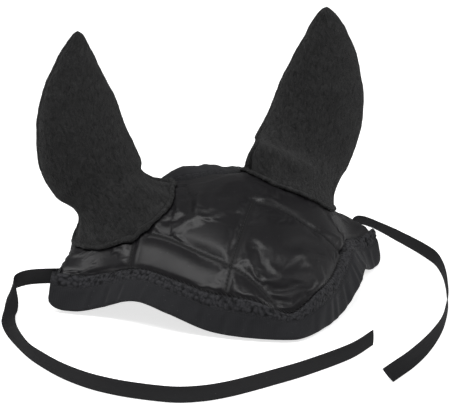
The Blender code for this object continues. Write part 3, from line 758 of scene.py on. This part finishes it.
def front_lift(run, away):
    """Gathers in two rows beside the seam, then a gutter and soft waves."""
    drift = slow_change(run, .011, 3.1)
    second_row = np.clip((away - GATHER_MIDDLE) / .0009 + .5, 0, 1)
    phase = run / GATHER_PITCH + .45 * drift + away * GATHER_SLANT + .5 * second_row
    uneven = np.array([[noise.noise((r / .0021, a / .0026, 9.4)) for a in away.ravel()]
                       for r in run.ravel()])
    ridge = np.abs(np.sin(pi * phase)) ** .8 * (.75 + .9 * uneven) - .5
    ridge -= .5 * bell(away - GATHER_MIDDLE, .0007)
    window = np.clip((GATHER_WIDTH - away) / .0015, 0, 1) * np.clip(away / .0012, 0, 1)
    sink = -SEAM_SINK * bell(away, .0013)
    gutter = -GUTTER_DEPTH * bell(away - GATHER_WIDTH, .0011)
    bulge = BULGE_HEIGHT * bell(away - GATHER_WIDTH / 2, .0032)
    soft = np.sin(pi * phase / 2 + 4 * drift) * np.clip((away - GATHER_WIDTH) / .004, 0, 1)
    gathers = ridge * window * GATHER_HEIGHT * (1 + .4 * drift)
    return gathers + sink + gutter + bulge + FRONT_WAVES * soft


def rear_lift(run, away):
    """Puckers along the two rows of stitches, then soft waves."""
    drift = slow_change(run, .013, 7.7)
    pull = sum(bell(away - row, .0006) for row in STITCH_ROWS)
    pucker = np.sin(2 * pi * run / .0052 + 3 * drift) * bell(away - .003, .003)
    soft = np.sin(2 * pi * run / .017 + 5 * drift) * np.clip(away / .008, 0, 1)
    return REAR_WAVES * (pucker + soft) - STITCH_PULL * pull - SEAM_SINK * bell(away, .0012)


front, front_stations, front_rings = band(
    "front_knit_band", 2, GATHER_PITCH / STEPS_PER_GATHER, FRONT_BAND, front_ways, (.94, 1),
    front_lift, FRONT_SWAY, .0080, (.0060, .0040))
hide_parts("front_band")
rear, rear_stations, rear_rings = band(
    "rear_knit_band", 0, REAR_STEP, REAR_BAND, rear_ways, (0, .06), rear_lift, REAR_SWAY, .0040,
    (.0078, .0035))
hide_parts("rear_band")

BAND_COLOUR = (.0190, .0192, .0215)
BAND_RIB_COLOUR = (.0285, .0288, .0315)
BAND_LINT = (.055, .055, .058)
# Painted light on the gathered strip, and painted shade in the hollows between its lumps.
GATHER_LIT_COLOUR = (.040, .040, .044)
GATHER_HOLLOW_SHADE_COLOUR = (.007, .007, .008)


def band_finish(name, gathered):
    """The bands' fine knit.  Where the overlock gathers it beside the seam, it is lumpy, with painted
    light on the gathered strip and painted shade in the hollows between its lumps.
    """
    made, tree, shader, spot, flat = new_finish(name, .85, .15, sheen=.06)
    loops = placed(tree, weave, flat, Pitch_along=.0010, Pitch_across=.0012, Waver=.5)
    dust = placed(tree, lint, spot, Speck_size=.0009, Specks=.02, Cloud_size=.018)
    cloth_colour = blended(tree, loops.outputs["Along"], BAND_COLOUR, BAND_RIB_COLOUR)
    heights = [(loops.outputs["Along"], .00025, .7), (loops.outputs["Across"], .0001, .5)]
    if gathered:
        away = node(tree, "ShaderNodeSeparateXYZ")
        near_seam = node(tree, "ShaderNodeMapRange", From_Min=GATHER_WIDTH + .0005,
                         From_Max=GATHER_WIDTH - .0010)
        lumps = node(tree, "ShaderNodeTexVoronoi", Scale=540, Randomness=1)
        hollows = node(tree, "ShaderNodeMapRange", From_Min=.35, From_Max=.90)
        hollow_shade_and_dent_mask = node(tree, "ShaderNodeMath", operation="MULTIPLY")
        tree.links.new(flat, away.inputs[0])
        tree.links.new(away.outputs["Y"], near_seam.inputs["Value"])
        tree.links.new(flat, lumps.inputs["Vector"])
        tree.links.new(lumps.outputs["Distance"], hollows.inputs["Value"])
        tree.links.new(hollows.outputs["Result"], hollow_shade_and_dent_mask.inputs[0])
        tree.links.new(near_seam.outputs["Result"], hollow_shade_and_dent_mask.inputs[1])
        # The gathered strip is painted lighter as if lit, and its hollows darker as painted shade.  The
        # same hollows are also dented by the bump.
        lit_colour = blended(tree, near_seam.outputs["Result"], cloth_colour, GATHER_LIT_COLOUR)
        cloth_colour = blended(tree, hollow_shade_and_dent_mask.outputs[0], lit_colour, GATHER_HOLLOW_SHADE_COLOUR)
        heights.insert(0, (hollow_shade_and_dent_mask.outputs[0], -.0006, .7))
    coloured(tree, dust, cloth_colour, BAND_LINT, shader)
    tree.links.new(blended(tree, dust.outputs["Cloud"], .75, .95, "FLOAT"), shader.inputs["Roughness"])
    relief(tree, heights, shader)
    return made


front.data.materials.append(band_finish("gathered_band_knit", True))
rear.data.materials.append(band_finish("band_knit", False))

# ================================================================= stitches
# Black polyester thread: lines of running stitches through the quilting and the bands, and
# slanting overlock loops across the front seam.
THREAD_RADIUS = 0.00024
STITCH_LENGTH = 0.0022
STITCH_PITCH = 0.0028
STITCH_DIVE = 0.00025        # a stitch's ends sink this far into the cloth
STITCH_LIFT = 0.0001         # a thread's middle lies this far above the cloth
STITCH_CLEAR = 1.12          # quilting stops at this share of an ear hole's size
LOOP_RADIUS = 0.00026
LOOP_REACH = 0.0045          # the overlock loops reach this far over the band
LOOP_START = 0.985           # they begin here on the satin, 1 being its seam
THREAD_COLOUR = (.008, .008, .009)
THREAD_PALE_COLOUR = (.020, .020, .022)

# One stitch: a small bead, thinned and drawn out towards its ends.
bpy.ops.object.select_all(action="DESELECT")
bpy.ops.mesh.primitive_uv_sphere_add(segments=6, ring_count=6, radius=1)
one_stitch = bpy.context.object
bpy.ops.object.mode_set(mode="EDIT")
shape = bmesh.from_edit_mesh(one_stitch.data)
for vertex in shape.verts:
    vertex.select_set(.3 < abs(vertex.co.z) < .99)
shape.select_flush_mode()
bmesh.update_edit_mesh(one_stitch.data)
bpy.ops.transform.resize(value=(.86, .86, 1.25))
bpy.ops.object.mode_set(mode="OBJECT")
stitch_points = positions(one_stitch)
stitch_faces = [list(face.vertices) for face in one_stitch.data.polygons]
bpy.data.objects.remove(one_stitch)

thread, tree, shader, spot, _ = new_finish("sewing_thread", .5, .35)
twist = node(tree, "ShaderNodeTexNoise", Scale=2600, Detail=1)
tree.links.new(spot, twist.inputs["Vector"])
tree.links.new(blended(tree, twist.outputs["Fac"], THREAD_COLOUR, THREAD_PALE_COLOUR),
               shader.inputs["Base Color"])
relief(tree, [(twist.outputs["Fac"], .0002, .6)], shader)


def stitched(name, starts, ends, ups, radius, solids, body="bonnet"):
    """One object of many copies of the stitch, each from its start to its end."""
    starts, ends, ups = (np.asarray(part, float) for part in (starts, ends, ups))
    ways = ends - starts
    lengths = np.linalg.norm(ways, axis=1)[:, None, None]
    ways = units(ways)
    sides = units(np.cross(ways, ups))
    ups = np.cross(sides, ways)
    x, y, z = stitch_points.T[..., None]
    points = (((starts + ends) / 2)[:, None] + sides[:, None] * x * radius
              + ways[:, None] * z * lengths / 2
              + ups[:, None] * (y * radius - STITCH_DIVE * z * z))
    faces = [[corner + copy * len(stitch_points) for corner in face]
             for copy in range(len(starts)) for face in stitch_faces]
    made = finished(name, points, faces)
    made.data.materials.append(thread)
    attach(made, body)
    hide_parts(*solids)
    return made


def running(path, pitch, length):
    """Starts and ends of running stitches along a path of points."""
    run = run_along(path)
    first = np.arange(pitch / 2, run[-1] - pitch, pitch)
    return [np.stack([np.interp(spots, run, path[:, axis]) for axis in range(3)], -1)
            for spots in (first, first + length)]


satin_tree = BVHTree.FromPolygons(satin_top.tolist(), kept_faces.tolist())
quilting_solids = (("quilting_thread_1", "quilting_thread_2"),
                   ("quilting_thread_3", "quilting_thread_4"),
                   ("quilting_thread_5",), ("quilting_thread_6",))
for number, ((start, end), solids) in enumerate(zip(QUILT_LINES, quilting_solids), 1):
    path, normals = [], []
    for part in np.linspace(0, 1, 80):
        x, y = np.array(start) * (1 - part) + np.array(end) * part + (0, TO_MIDDLE)
        hit, normal, _, _ = satin_tree.ray_cast(Vector((x, y, .2)), Vector((0, 0, -1)))
        if hit is not None and base_oval(np.array([hit]))[0] > STITCH_CLEAR:
            path.append(hit)
            normals.append(normal)
    path = np.array(path) + np.array(normals) * STITCH_LIFT
    starts, ends = running(path, STITCH_PITCH, STITCH_LENGTH)
    up = np.mean(normals, axis=0)
    stitched(f"quilting_stitches_{number}", starts, ends, [up] * len(starts), THREAD_RADIUS, solids)


def band_row(name, rings, width, away, solid):
    """A row of stitches on a band's outer side, at a distance from its seam."""
    index = outer_index(away, width)
    path = rings[:, index]
    normals = units(np.cross(np.gradient(rings[:, index - 1:index + 2], axis=1)[:, 1],
                             np.gradient(path, axis=0)))
    normals *= np.sign(normals[len(normals) // 2, 2])
    starts, ends = running(path + normals * STITCH_LIFT, STITCH_PITCH, STITCH_LENGTH)
    near = np.linalg.norm(path[None, ::4] - starts[:, None], axis=2).argmin(axis=1) * 4
    stitched(name, starts, ends, normals[near], THREAD_RADIUS, [solid])


band_row("front_gather_stitches", front_rings, FRONT_BAND, GATHER_WIDTH, "front_gather_thread")
band_row("rear_seam_stitches", rear_rings, REAR_BAND, STITCH_ROWS[0], "rear_seam_thread")
band_row("rear_top_stitches", rear_rings, REAR_BAND, STITCH_ROWS[1], "rear_top_thread")

# The overlock loops cross the front seam, one for each gather, and slant along it.
each = np.arange(STEPS_PER_GATHER, len(front_rings) - 3 * STEPS_PER_GATHER, STEPS_PER_GATHER)
panel_side = outward(panel_grid(front_stations, (.94, 1)))[-1]
upper = panel_grid(front_stations, (LOOP_START,))[0]
upper = upper + panel_side * (PANEL_THICKNESS - SEAM_DEPTH * .55)
lower = front_rings[:, outer_index(LOOP_REACH, FRONT_BAND)] + panel_side * STITCH_LIFT
stitched("front_overlock_loops", upper[each], lower[each + 2 * STEPS_PER_GATHER],
         panel_side[each], LOOP_RADIUS, ["front_seam_thread"])

# ================================================================= ear covers
# Two panels of thick fuzzy knit for each ear, seamed down both edges and turned right side
# out.  The ear stands by itself and its lower edge spreads a little over the forehead.
EAR_HEIGHT = 0.1130
EAR_HALF_WIDTH = 0.0350
EAR_TURN = radians(-9)
EAR_KNIT = 0.0014            # thickness of the knit
RIM_RISE = 0.0019            # the outer side of the lower edge over the satin
RIM_WAVER = 0.0005           # how unevenly it spreads
RIM_LEAST = 0.0009           # and by how much at least
HINGE_RISE = 0.0055          # the knit bends up to this far above the hinge
EAR_FOOT_TOP = 0.0150        # the flare ends this far above the middle of the oval
SEAM_STITCH_SINK = 0.0009    # the seam stitches lie this far below the ear's outline
SEAM_STITCHES = (0.26, 0.93)            # and run between these shares of its rings
EAR_RINGS = 150
PANEL_POINTS = 84
PANEL_GAP = 0.02             # angle between a panel's edge and the seam
TIP_CLOSED = 0.96            # from this share of its rows on, a panel closes towards its middle
# Lumps in the knit: their size, their pattern's number and their height.
EAR_LUMPS = ((.011, 1, .00055), (.0035, 2, .00022))
PLEATS = 13                  # soft pleats round the foot
PLEAT_DEPTH = 0.0006
PLEAT_FADE = 0.016           # they fade over this height
SEAM_ROLL_DEPTH = 0.0011     # the panels roll in at their seams
SEAM_ROLL_WIDTH = 0.0012
# Each ring's height, its middle to the side and to the rear, and its half width and depth;
# the first three are shares of the ear's height, the others of its half width.
EAR_SHAPE = [(.18, .108, .060, .985, .56), (.30, .168, .085, .990, .52),
             (.44, .210, .090, .920, .46), (.58, .236, .088, .790, .40),
             (.72, .252, .073, .610, .32), (.85, .256, .057, .395, .22),
             (.945, .252, .045, .225, .14), (.995, .247, .038, .115, .080),
             (1.018, .245, .036, .035, .025)]
# How far each ear's inner and outer edges spread past that shape, ring by ring from below:
# the right ear has a waist above its flared lower edge, the left one is wide there.
EAR_SPREAD = {"right": [(0, 0), (-.0080, -.0045), (-.0108, -.0035), (-.0080, -.0005), (-.0050, 0),
                        (-.0020, 0)],
              "left": [(0, 0), (.0072, .0010), (.0086, .0025), (.0030, .0034), (-.0012, .0022),
                       (-.0014, .0008), (0, 0), (.0008, .0010), (.0015, .0020), (.0020, .0022),
                       (.0010, .0010)]}
RIM_SHARES = (1, .50, .14)   # how much of the flare the lowest rings have


def grain(points, size, seed=0):
    """Smooth noise from -1 to 1 at each point, with lumps of about the given size."""
    flat = np.asarray(points).reshape(-1, 3) / size + seed * 17.3
    return np.array([noise.noise(p) for p in flat]).reshape(np.shape(points)[:-1])


def rim_point(angle, word):
    """Where an ear's lower edge lies on the satin, as if it were the left ear, and the normal."""
    side = np.array((1 if word == "left" else -1, 1, 1))
    uneven = noise.noise((cos(angle) * 7, sin(angle) * 7, 2))
    past = max(flare(angle, word) + RIM_WAVER * uneven, RIM_LEAST)
    place = (BASE_MIDDLE + BASE_LONG * (EAR_BASE_HALF_LENGTH + past) * cos(angle)
             + BASE_DEEP * (EAR_BASE_HALF_DEPTH + past) * sin(angle))
    start = Vector((place + BASE_UP * POLL_HEIGHT) * side)
    hit, normal, _, _ = satin_tree.ray_cast(start, Vector(-BASE_UP * side))
    if hit is None:
        return on_panel(place, BASE_UP)
    normal = np.array(normal) * side
    return np.array(hit) * side, normal * np.sign(normal @ BASE_UP)


def ear_frame_rings(angles, word):
    """An ear's guiding rings as if it were the left one, from its lower edge to its tip."""
    across, deep = np.cos(angles)[:, None], np.sin(angles)[:, None]
    rim = np.array([hit + normal * RIM_RISE for hit, normal in (rim_point(a, word) for a in angles)])
    low = (rim - BASE_MIDDLE) @ BASE_UP
    past = flare(angles, word)[:, None]
    rings = [rim]
    for share, part in zip(RIM_SHARES[1:], (.5, 1)):
        height = low * (1 - part) + EAR_FOOT_TOP * part
        rings.append(BASE_MIDDLE + BASE_UP * height[:, None]
                     + BASE_LONG * across * (EAR_BASE_HALF_LENGTH + past * share)
                     + BASE_DEEP * deep * (EAR_BASE_HALF_DEPTH + past * share))
    for index, (share, sideways, backward, width, depth) in enumerate(EAR_SHAPE):
        blend = min(1, (index + 1) / 3)
        facing = np.array([cos(EAR_TURN), sin(EAR_TURN), 0])
        long_way = units(BASE_LONG * (1 - blend) + facing * blend)
        rising = units(BASE_UP * (1 - blend) + np.array([0, 0, 1]) * blend)
        middle = BASE_MIDDLE + np.array([sideways, backward, share]) * EAR_HEIGHT
        rings.append(middle + long_way * across * EAR_HALF_WIDTH * width
                     + np.cross(rising, long_way) * deep * EAR_HALF_WIDTH * depth)
    for ring, (inner, outer) in zip(rings, EAR_SPREAD[word]):
        ring += BASE_LONG * np.where(across < 0, inner, outer) * across * np.abs(across)
    return np.array(rings)


def slab(name, one_side, other_side, flat):
    """A closed solid between two grids of points, with walls round their border."""
    rows, columns = one_side.shape[:2]
    count = rows * columns
    faces = grid_faces(rows, columns, False)
    down = np.arange(rows) * columns
    across = np.arange(columns)
    walls = [np.stack([edge[:-1], edge[1:], edge[1:] + count, edge[:-1] + count], -1)
             for edge in (down, down + columns - 1, across, across + down[-1])]
    return finished(name, np.stack([one_side, other_side]),
                    np.concatenate([faces, faces + count, *walls]), np.stack([flat, flat]))


def ear_panel(name, back, side, word):
    """One knit panel of an ear, rolled in at its side seams."""
    start = 0 if back else pi
    angles = start + pi * (1 - np.cos(np.linspace(PANEL_GAP, pi - PANEL_GAP, PANEL_POINTS))) / 2
    guide = ear_frame_rings(angles, word)
    levels = np.linspace(0, 1, EAR_RINGS) ** .92
    outer = np.array([smooth(guide, level) for level in levels])
    face = outward(outer[::-1])[::-1]
    middle = outer.mean(axis=1, keepdims=True)
    face *= np.sign(np.sum(face * (outer - middle), axis=2))[..., None]
    from_edge = np.minimum(np.linalg.norm(outer - outer[:, :1], axis=2),
                           np.linalg.norm(outer - outer[:, -1:], axis=2))
    run = run_along(outer)
    lumps = sum(grain(outer, size, seed) * height for size, seed, height in EAR_LUMPS)
    pleats = np.sin(angles * PLEATS + 3 * grain(outer, .02, 3)) * np.exp(-run / PLEAT_FADE)
    seam_roll = bell(from_edge, SEAM_ROLL_WIDTH)
    rise = lumps + PLEAT_DEPTH * pleats - SEAM_ROLL_DEPTH * seam_roll
    outer = outer + face * rise[..., None]
    inner = outer - face * EAR_KNIT
    closing = np.clip((levels - TIP_CLOSED) / (1 - TIP_CLOSED), 0, 1) / 2
    inner = inner + (middle - inner) * closing[:, None, None]
    across = run_along(outer, 1)
    across = across - across[:, -1:] / 2
    return slab(name, outer * (side, 1, 1), inner * (side, 1, 1), np.stack([across, run], -1))


EAR_COLOUR = (.0090, .0090, .0092)
EAR_NAP_COLOUR = (.0560, .0560, .0565)
EAR_LINT = (.060, .060, .060)
EAR_NAP_WORN = .6            # how much of the pale nap the darkest clouds take away
ear_knit, tree, shader, spot, flat = new_finish("fuzzy_ear_knit", .95, .12, sheen=.08,
                                                sheen_roughness=.6)
loops = placed(tree, weave, flat, Pitch_along=.0017, Pitch_across=.0024, Waver=2.2)
dust = placed(tree, lint, spot, Speck_size=.0008, Specks=.05, Cloud_size=.010)
drawn = node(tree, "ShaderNodeVectorMath", operation="MULTIPLY")
drawn.inputs[1].default_value = (1, .6, 1)
boucle = node(tree, "ShaderNodeTexNoise", Scale=430, Detail=5, Roughness=.75, Distortion=.9)
curls = node(tree, "ShaderNodeMapRange", From_Min=.36, From_Max=.70)
nap = node(tree, "ShaderNodeTexNoise", Scale=1500, Detail=3, Roughness=.7)
tree.links.new(flat, drawn.inputs[0])
tree.links.new(drawn.outputs[0], boucle.inputs["Vector"])
tree.links.new(boucle.outputs["Fac"], curls.inputs["Value"])
tree.links.new(spot, nap.inputs["Vector"])
cloth_colour = blended(tree, curls.outputs["Result"], EAR_COLOUR, EAR_NAP_COLOUR)
patchy = node(tree, "ShaderNodeMath", operation="MULTIPLY")
patchy.inputs[1].default_value = EAR_NAP_WORN
tree.links.new(dust.outputs["Cloud"], patchy.inputs[0])
cloth_colour = blended(tree, patchy.outputs[0], cloth_colour, EAR_COLOUR)
coloured(tree, dust, cloth_colour, EAR_LINT, shader)
relief(tree, [(curls.outputs["Result"], .0009, .9), (nap.outputs["Fac"], .0006, .7),
              (loops.outputs["Along"], .0003, .5)], shader)

# The frame's first joint is the left ear's hinge, and the right one mirrors it.
HINGE_AT = np.array(frame["joints"][0]["pos_m"])
for side, word in ((1, "left"), (-1, "right")):
    for place, back in (("front", False), ("back", True)):
        panel = ear_panel(f"{word}_{place}_ear_knit", back, side, word)
        panel.data.materials.append(ear_knit)
        low = BASE_MIDDLE * (side, 1, 1)
        high = (HINGE_AT + BASE_UP * HINGE_RISE) * (side, 1, 1)
        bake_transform(panel)
        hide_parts(f"{word}_ear_{place}_panel")
    # The side seams' stitches lie deep between the two panels, above the ear's tilt.
    for angle, edge in ((0, "outer"), (pi, "inner")):
        guide = ear_frame_rings(np.array([angle, angle]), word)
        path = np.array([smooth(guide, level)[0] for level in np.linspace(*SEAM_STITCHES, 120)])
        starts, ends = running(path - np.array((cos(angle), 0, 0)) * SEAM_STITCH_SINK,
                               STITCH_PITCH, STITCH_LENGTH)
        stitched(f"{word}_{edge}_ear_stitches", starts * (side, 1, 1), ends * (side, 1, 1),
                 [(side * cos(angle), 0, .01)] * len(starts), THREAD_RADIUS,
                 [f"{word}_ear_{edge}_thread"], f"{word}_ear")

# ================================================================= ear hems
# The hem of each ear is rolled under and sewn to the satin all round its oval.  It shows as
# a low, uneven rim of the same fuzzy knit below the flared edge of the ear.
HEM_RINGS = 260
HEM_SIDES = 16
HEM_TALL = 0.0014            # half its height
HEM_WIDE = 0.0021            # half its width
HEM_OUT = 0.0006             # the hem peeps out this far from under the ear
HEM_LEAN = 0.15              # how much it leans inwards
HEM_LUMPS = 0.0003           # height of the knit's lumps on it
HEM_PUCKERS = 26
HEM_PUCKER_SIZE = 0.14       # share by which they change its thickness
HEM_UNEVEN = 0.55            # share by which it changes slowly

for side, word in ((1, "left"), (-1, "right")):
    rings, flat = [], []
    run = 0
    last = None
    for index in range(HEM_RINGS):
        angle = 2 * pi * index / HEM_RINGS
        middle, normal = rim_point(angle, word)
        inward = units(BASE_MIDDLE + BASE_UP * np.dot(middle - BASE_MIDDLE, BASE_UP) - middle)
        tall_way = units(normal + inward * HEM_LEAN)
        wide_way = units(inward - tall_way * np.dot(inward, tall_way))
        run += 0 if last is None else np.linalg.norm(middle - last)
        last = middle
        pucker = sin(angle * HEM_PUCKERS + 5 * noise.noise((angle * 3, side, 0)))
        swell = 1 + HEM_PUCKER_SIZE * pucker
        swell += HEM_UNEVEN * noise.noise((cos(angle) * 6, sin(angle) * 6, 5 + side))
        turns = np.linspace(0, 2 * pi, HEM_SIDES, endpoint=False)[:, None]
        centre = middle + normal * HEM_TALL * .9 - inward * HEM_OUT
        rings.append(centre + tall_way * np.cos(turns) * HEM_TALL * (.85 + .15 * swell)
                     - wide_way * np.sin(turns) * HEM_WIDE * swell)
        flat.append([(run, turn[0] * HEM_TALL) for turn in turns])
    rings = np.array(rings)
    faces = grid_faces(HEM_RINGS, HEM_SIDES, True)
    closing = np.stack([np.arange(HEM_SIDES), np.roll(np.arange(HEM_SIDES), -1)], -1)
    joined = np.concatenate([closing[:, ::-1] + (HEM_RINGS - 1) * HEM_SIDES, closing], 1)
    rings = rings + units(rings - rings.mean(axis=1, keepdims=True)) * (
        grain(rings, .0025, 4) * HEM_LUMPS)[..., None]
    hem = finished(f"{word}_rolled_ear_edge", rings * (side, 1, 1), np.concatenate([faces, joined]),
                   np.array(flat))
    hem.data.materials.append(ear_knit)
    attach(hem, "bonnet")
    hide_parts(f"{word}_ear_collar")

# ================================================================= satin ribbons
# Two loose ties of woven satin ribbon, cut bare at the ends.  Each is held by a folded tab of
# the same ribbon that is sewn to an end of the rear band, comes down to the table there and
# runs along it on its edge.  A route's points are x, y, z and the lean in degrees.
TAB_STATION = 0.965          # where the tabs lie along the rear band
TAB_HALF_WIDTH = 0.0025
TAB_THICKNESS = 0.0012
TAB_FROM = 13                # it covers the rear band's outer side from this point on
TAB_EDGE = (.45, .85)        # share of its thickness at its border and one point in
TAB_LIFT = 0.0003            # its outer side's extra height over the band
TAB_UNDER = 0.0002           # its inner side's
TAB_WEAVE_STEP = (.00045, .0008)        # cloth from point to point, across and along
TAB_SEWN_DEPTH = 0.0004      # its two rows of stitches pull it down by this much
TAB_SEWN_COLUMNS = (3, 4, -5, -4)
RIBBON_WIDTH = 0.0100
RIBBON_HALF_THICKNESS = 0.00022
SELVEDGE_BEAD = 0.00010      # extra half thickness of the woven edges
EDGE_THINNED = 0.4           # share of its thickness at the very edge
RIBBON_CUP = 0.00035         # how far the middle of the width bows out
RIBBON_SAMPLES = 260
RIBBON_SHARES = (-1, -.96, -.88, -.6, -.3, 0, .3, .6, .88, .96, 1)  # places across the width
RIGHT_ROUTE = [(-.1042, .0467, .0168, 0), (-.1129, .0506, .0166, 0), (-.1194, .0532, .0163, 0),
               (-.1257, .0547, .0156, -2), (-.1312, .0540, .0143, -8), (-.1353, .0502, .0120, -22),
               (-.1386, .0425, .0090, -44), (-.1422, .0330, .0063, -64), (-.1460, .0250, .0046, -72),
               (-.1500, .0165, .0040, -62), (-.1543, .0010, .0046, -40), (-.1577, -.0190, .0052, -16),
               (-.1595, -.0457, .0054, 0), (-.1575, -.0652, .0054, 0), (-.1540, -.0842, .0054, 0),
               (-.1480, -.1022, .0054, 0), (-.1405, -.1167, .0054, 0), (-.1285, -.1322, .0054, 0),
               (-.1105, -.1482, .0054, 0), (-.0960, -.1535, .0054, 0), (-.0821, -.1542, .0054, 0),
               (-.0671, -.1521, .0054, 0), (-.0447, -.1469, .0054, 0), (-.0209, -.1404, .0054, 0),
               (.0145, -.1265, .0054, 0), (.0384, -.1103, .0054, 0)]
LEFT_ROUTE = [(.1052, .0503, .0186, 8), (.1067, .0550, .0206, 22), (.1096, .0590, .0220, 36),
              (.1140, .0614, .0224, 43), (.1195, .0614, .0214, 43), (.1250, .0591, .0194, 40),
              (.1304, .0552, .0168, 36), (.1360, .0507, .0138, 29), (.1420, .0450, .0103, 20),
              (.1472, .0365, .0073, 10), (.1496, .0240, .0056, 3), (.1482, .0090, .0054, 0),
              (.1418, -.0108, .0054, 0), (.1335, -.0300, .0054, 0), (.1240, -.0490, .0054, 0),
              (.1136, -.0685, .0054, 0), (.1012, -.0882, .0054, 0), (.0880, -.1068, .0054, 0),
              (.0730, -.1239, .0053, 8), (.0581, -.1385, .0051, 18), (.0419, -.1521, .0048, 28),
              (.0290, -.1611, .0045, 38), (.0177, -.1688, .0042, 47)]
RIBBON_COLOUR = (.0042, .0042, .0050)
RIBBON_WORN_COLOUR = (.0085, .0085, .0100)
RIBBON_LINT = (.03, .03, .03)

ribbon_satin, tree, shader, spot, flat = new_finish("ribbon_satin", .34, .18)
threads = placed(tree, weave, flat, Pitch_along=.00045, Pitch_across=.00030, Waver=.3)
dust = placed(tree, lint, spot, Speck_size=.0010, Specks=.008, Cloud_size=.012)
cloth_colour = blended(tree, dust.outputs["Cloud"], RIBBON_COLOUR, RIBBON_WORN_COLOUR)
coloured(tree, dust, cloth_colour, RIBBON_LINT, shader)
glancing = node(tree, "ShaderNodeLayerWeight", Blend=.65)
gloss = blended(tree, dust.outputs["Cloud"], .30, .40, "FLOAT")
gloss = blended(tree, glancing.outputs["Facing"], gloss, 1, "FLOAT")
tree.links.new(gloss, shader.inputs["Roughness"])
relief(tree, [(threads.outputs["Across"], .00006, .5), (threads.outputs["Along"], .00005, .4)], shader)

for side, word in ((1, "left"), (-1, "right")):
    near = np.abs(rear_stations - side * TAB_STATION) < TAB_HALF_WIDTH / HALF_WIDTH
    patch = rear_rings[near][:, TAB_FROM:OUTER_STEPS + 1]
    rows, columns = patch.shape[:2]
    face = units(np.cross(np.gradient(patch, axis=0), np.gradient(patch, axis=1)))
    face *= np.sign(face[..., :1] * side)
    border = np.minimum.outer(np.minimum(np.arange(rows), np.arange(rows)[::-1]),
                              np.minimum(np.arange(columns), np.arange(columns)[::-1]))
    high = TAB_THICKNESS * np.choose(np.minimum(border, 2), (*TAB_EDGE, 1))
    high[:, TAB_SEWN_COLUMNS] -= TAB_SEWN_DEPTH
    top = patch + face * (high + TAB_LIFT)[..., None]
    low = patch + face * TAB_UNDER
    spots = np.stack(np.meshgrid(np.arange(columns), np.arange(rows)), -1) * TAB_WEAVE_STEP
    tab = slab(f"{word}_folded_tab", low, top, spots)
    tab.data.materials.append(ribbon_satin)
    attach(tab, "bonnet")
    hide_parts(f"{word}_ribbon_tab")


def ribbon(name, route, tab):
    """A satin strip along its route, upright apart from its lean."""
    samples = np.array([smooth(route, i / (RIBBON_SAMPLES - 1)) for i in range(RIBBON_SAMPLES)])
    middle = samples[:, :3]
    along = units(np.gradient(middle, axis=0))
    side = units(np.cross(along, (0, 0, 1)))
    up = np.cross(side, along)
    lean = np.radians(samples[:, 3:])
    upright = up * np.cos(lean) + side * np.sin(lean)
    face = np.cross(along, upright)
    run = run_along(middle)
    rings, flat = [], []
    for way in (1, -1):
        for share in (RIBBON_SHARES if way > 0 else RIBBON_SHARES[::-1]):
            bead = SELVEDGE_BEAD if .9 < abs(share) < 1 else 0
            thick = way * (RIBBON_HALF_THICKNESS + bead) * (EDGE_THINNED if abs(share) == 1 else 1)
            bow = RIBBON_CUP * (1 - share * share)
            rings.append(middle + upright * share * RIBBON_WIDTH / 2 + face * (thick + bow))
            flat.append(np.stack([run, np.full(len(run), share * RIBBON_WIDTH / 2)], -1))
    strip = wrapped(name, np.stack(rings, 1), np.stack(flat, 1))
    strip.data.materials.append(ribbon_satin)
    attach(strip, "bonnet")
    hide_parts(tab)


ribbon("right_satin_tie", RIGHT_ROUTE, "right_ribbon")
ribbon("left_satin_tie", LEFT_ROUTE, "left_ribbon")

# ================================================================= floor and light
# A white sweep of paper under soft even light, as a shop photographs cloth goods.
FLOOR_SIZE = 60
FLOOR_GLOW = 0.72            # what the camera sees of it besides its lit colour
ROOM_LIGHT = 0.28
# Each light's name, place, width, depth and power.
LIGHTS = (("key_light", (-.42, -.42, 1.43), 1.2, .55, 11),
          ("cheek_light", (-.85, .45, 1.15), .6, .6, 5),
          ("nose_light", (1.02, -.58, .94), .5, .6, 5))
bpy.ops.object.select_all(action="DESELECT")
bpy.ops.mesh.primitive_plane_add(size=FLOOR_SIZE, location=(0, 0, 0))
floor = bpy.context.object
floor.name = "paper_floor"
paper = bpy.data.materials.new("paper")
paper.use_nodes = True
shader = paper.node_tree.nodes["Principled BSDF"]
shader.inputs["Base Color"].default_value = (.9, .9, .9, 1)
shader.inputs["Roughness"].default_value = .9
shader.inputs["Specular IOR Level"].default_value = .1
shader.inputs["Emission Color"].default_value = (1, 1, 1, 1)
rays = paper.node_tree.nodes.new("ShaderNodeLightPath")
last = rays.outputs["Is Camera Ray"]
for other in ("Is Glossy Ray", "Is Transmission Ray"):
    either = node(paper.node_tree, "ShaderNodeMath", operation="MAXIMUM")
    paper.node_tree.links.new(last, either.inputs[0])
    paper.node_tree.links.new(rays.outputs[other], either.inputs[1])
    last = either.outputs[0]
seen = node(paper.node_tree, "ShaderNodeMath", operation="MULTIPLY")
seen.inputs[1].default_value = FLOOR_GLOW
paper.node_tree.links.new(last, seen.inputs[0])
paper.node_tree.links.new(seen.outputs[0], shader.inputs["Emission Strength"])
floor.data.materials.append(paper)

world = bpy.data.worlds.new("pale_room")
world.use_nodes = True
scene.world = world
sky = world.node_tree.nodes["Background"]
sky.inputs["Color"].default_value = (1, 1, 1, 1)
sky.inputs["Strength"].default_value = ROOM_LIGHT

for name, spot_at, width, depth, power in LIGHTS:
    bpy.ops.object.light_add(type="AREA", location=spot_at)
    lamp = bpy.context.object
    lamp.name = name
    lamp.data.shape = "RECTANGLE"
    lamp.data.size = width
    lamp.data.size_y = depth
    lamp.data.energy = power
    lamp.rotation_euler = (Vector(spot_at) - VIEW_TARGET).to_track_quat("Z", "Y").to_euler()

scene.view_settings.view_transform = "Standard"
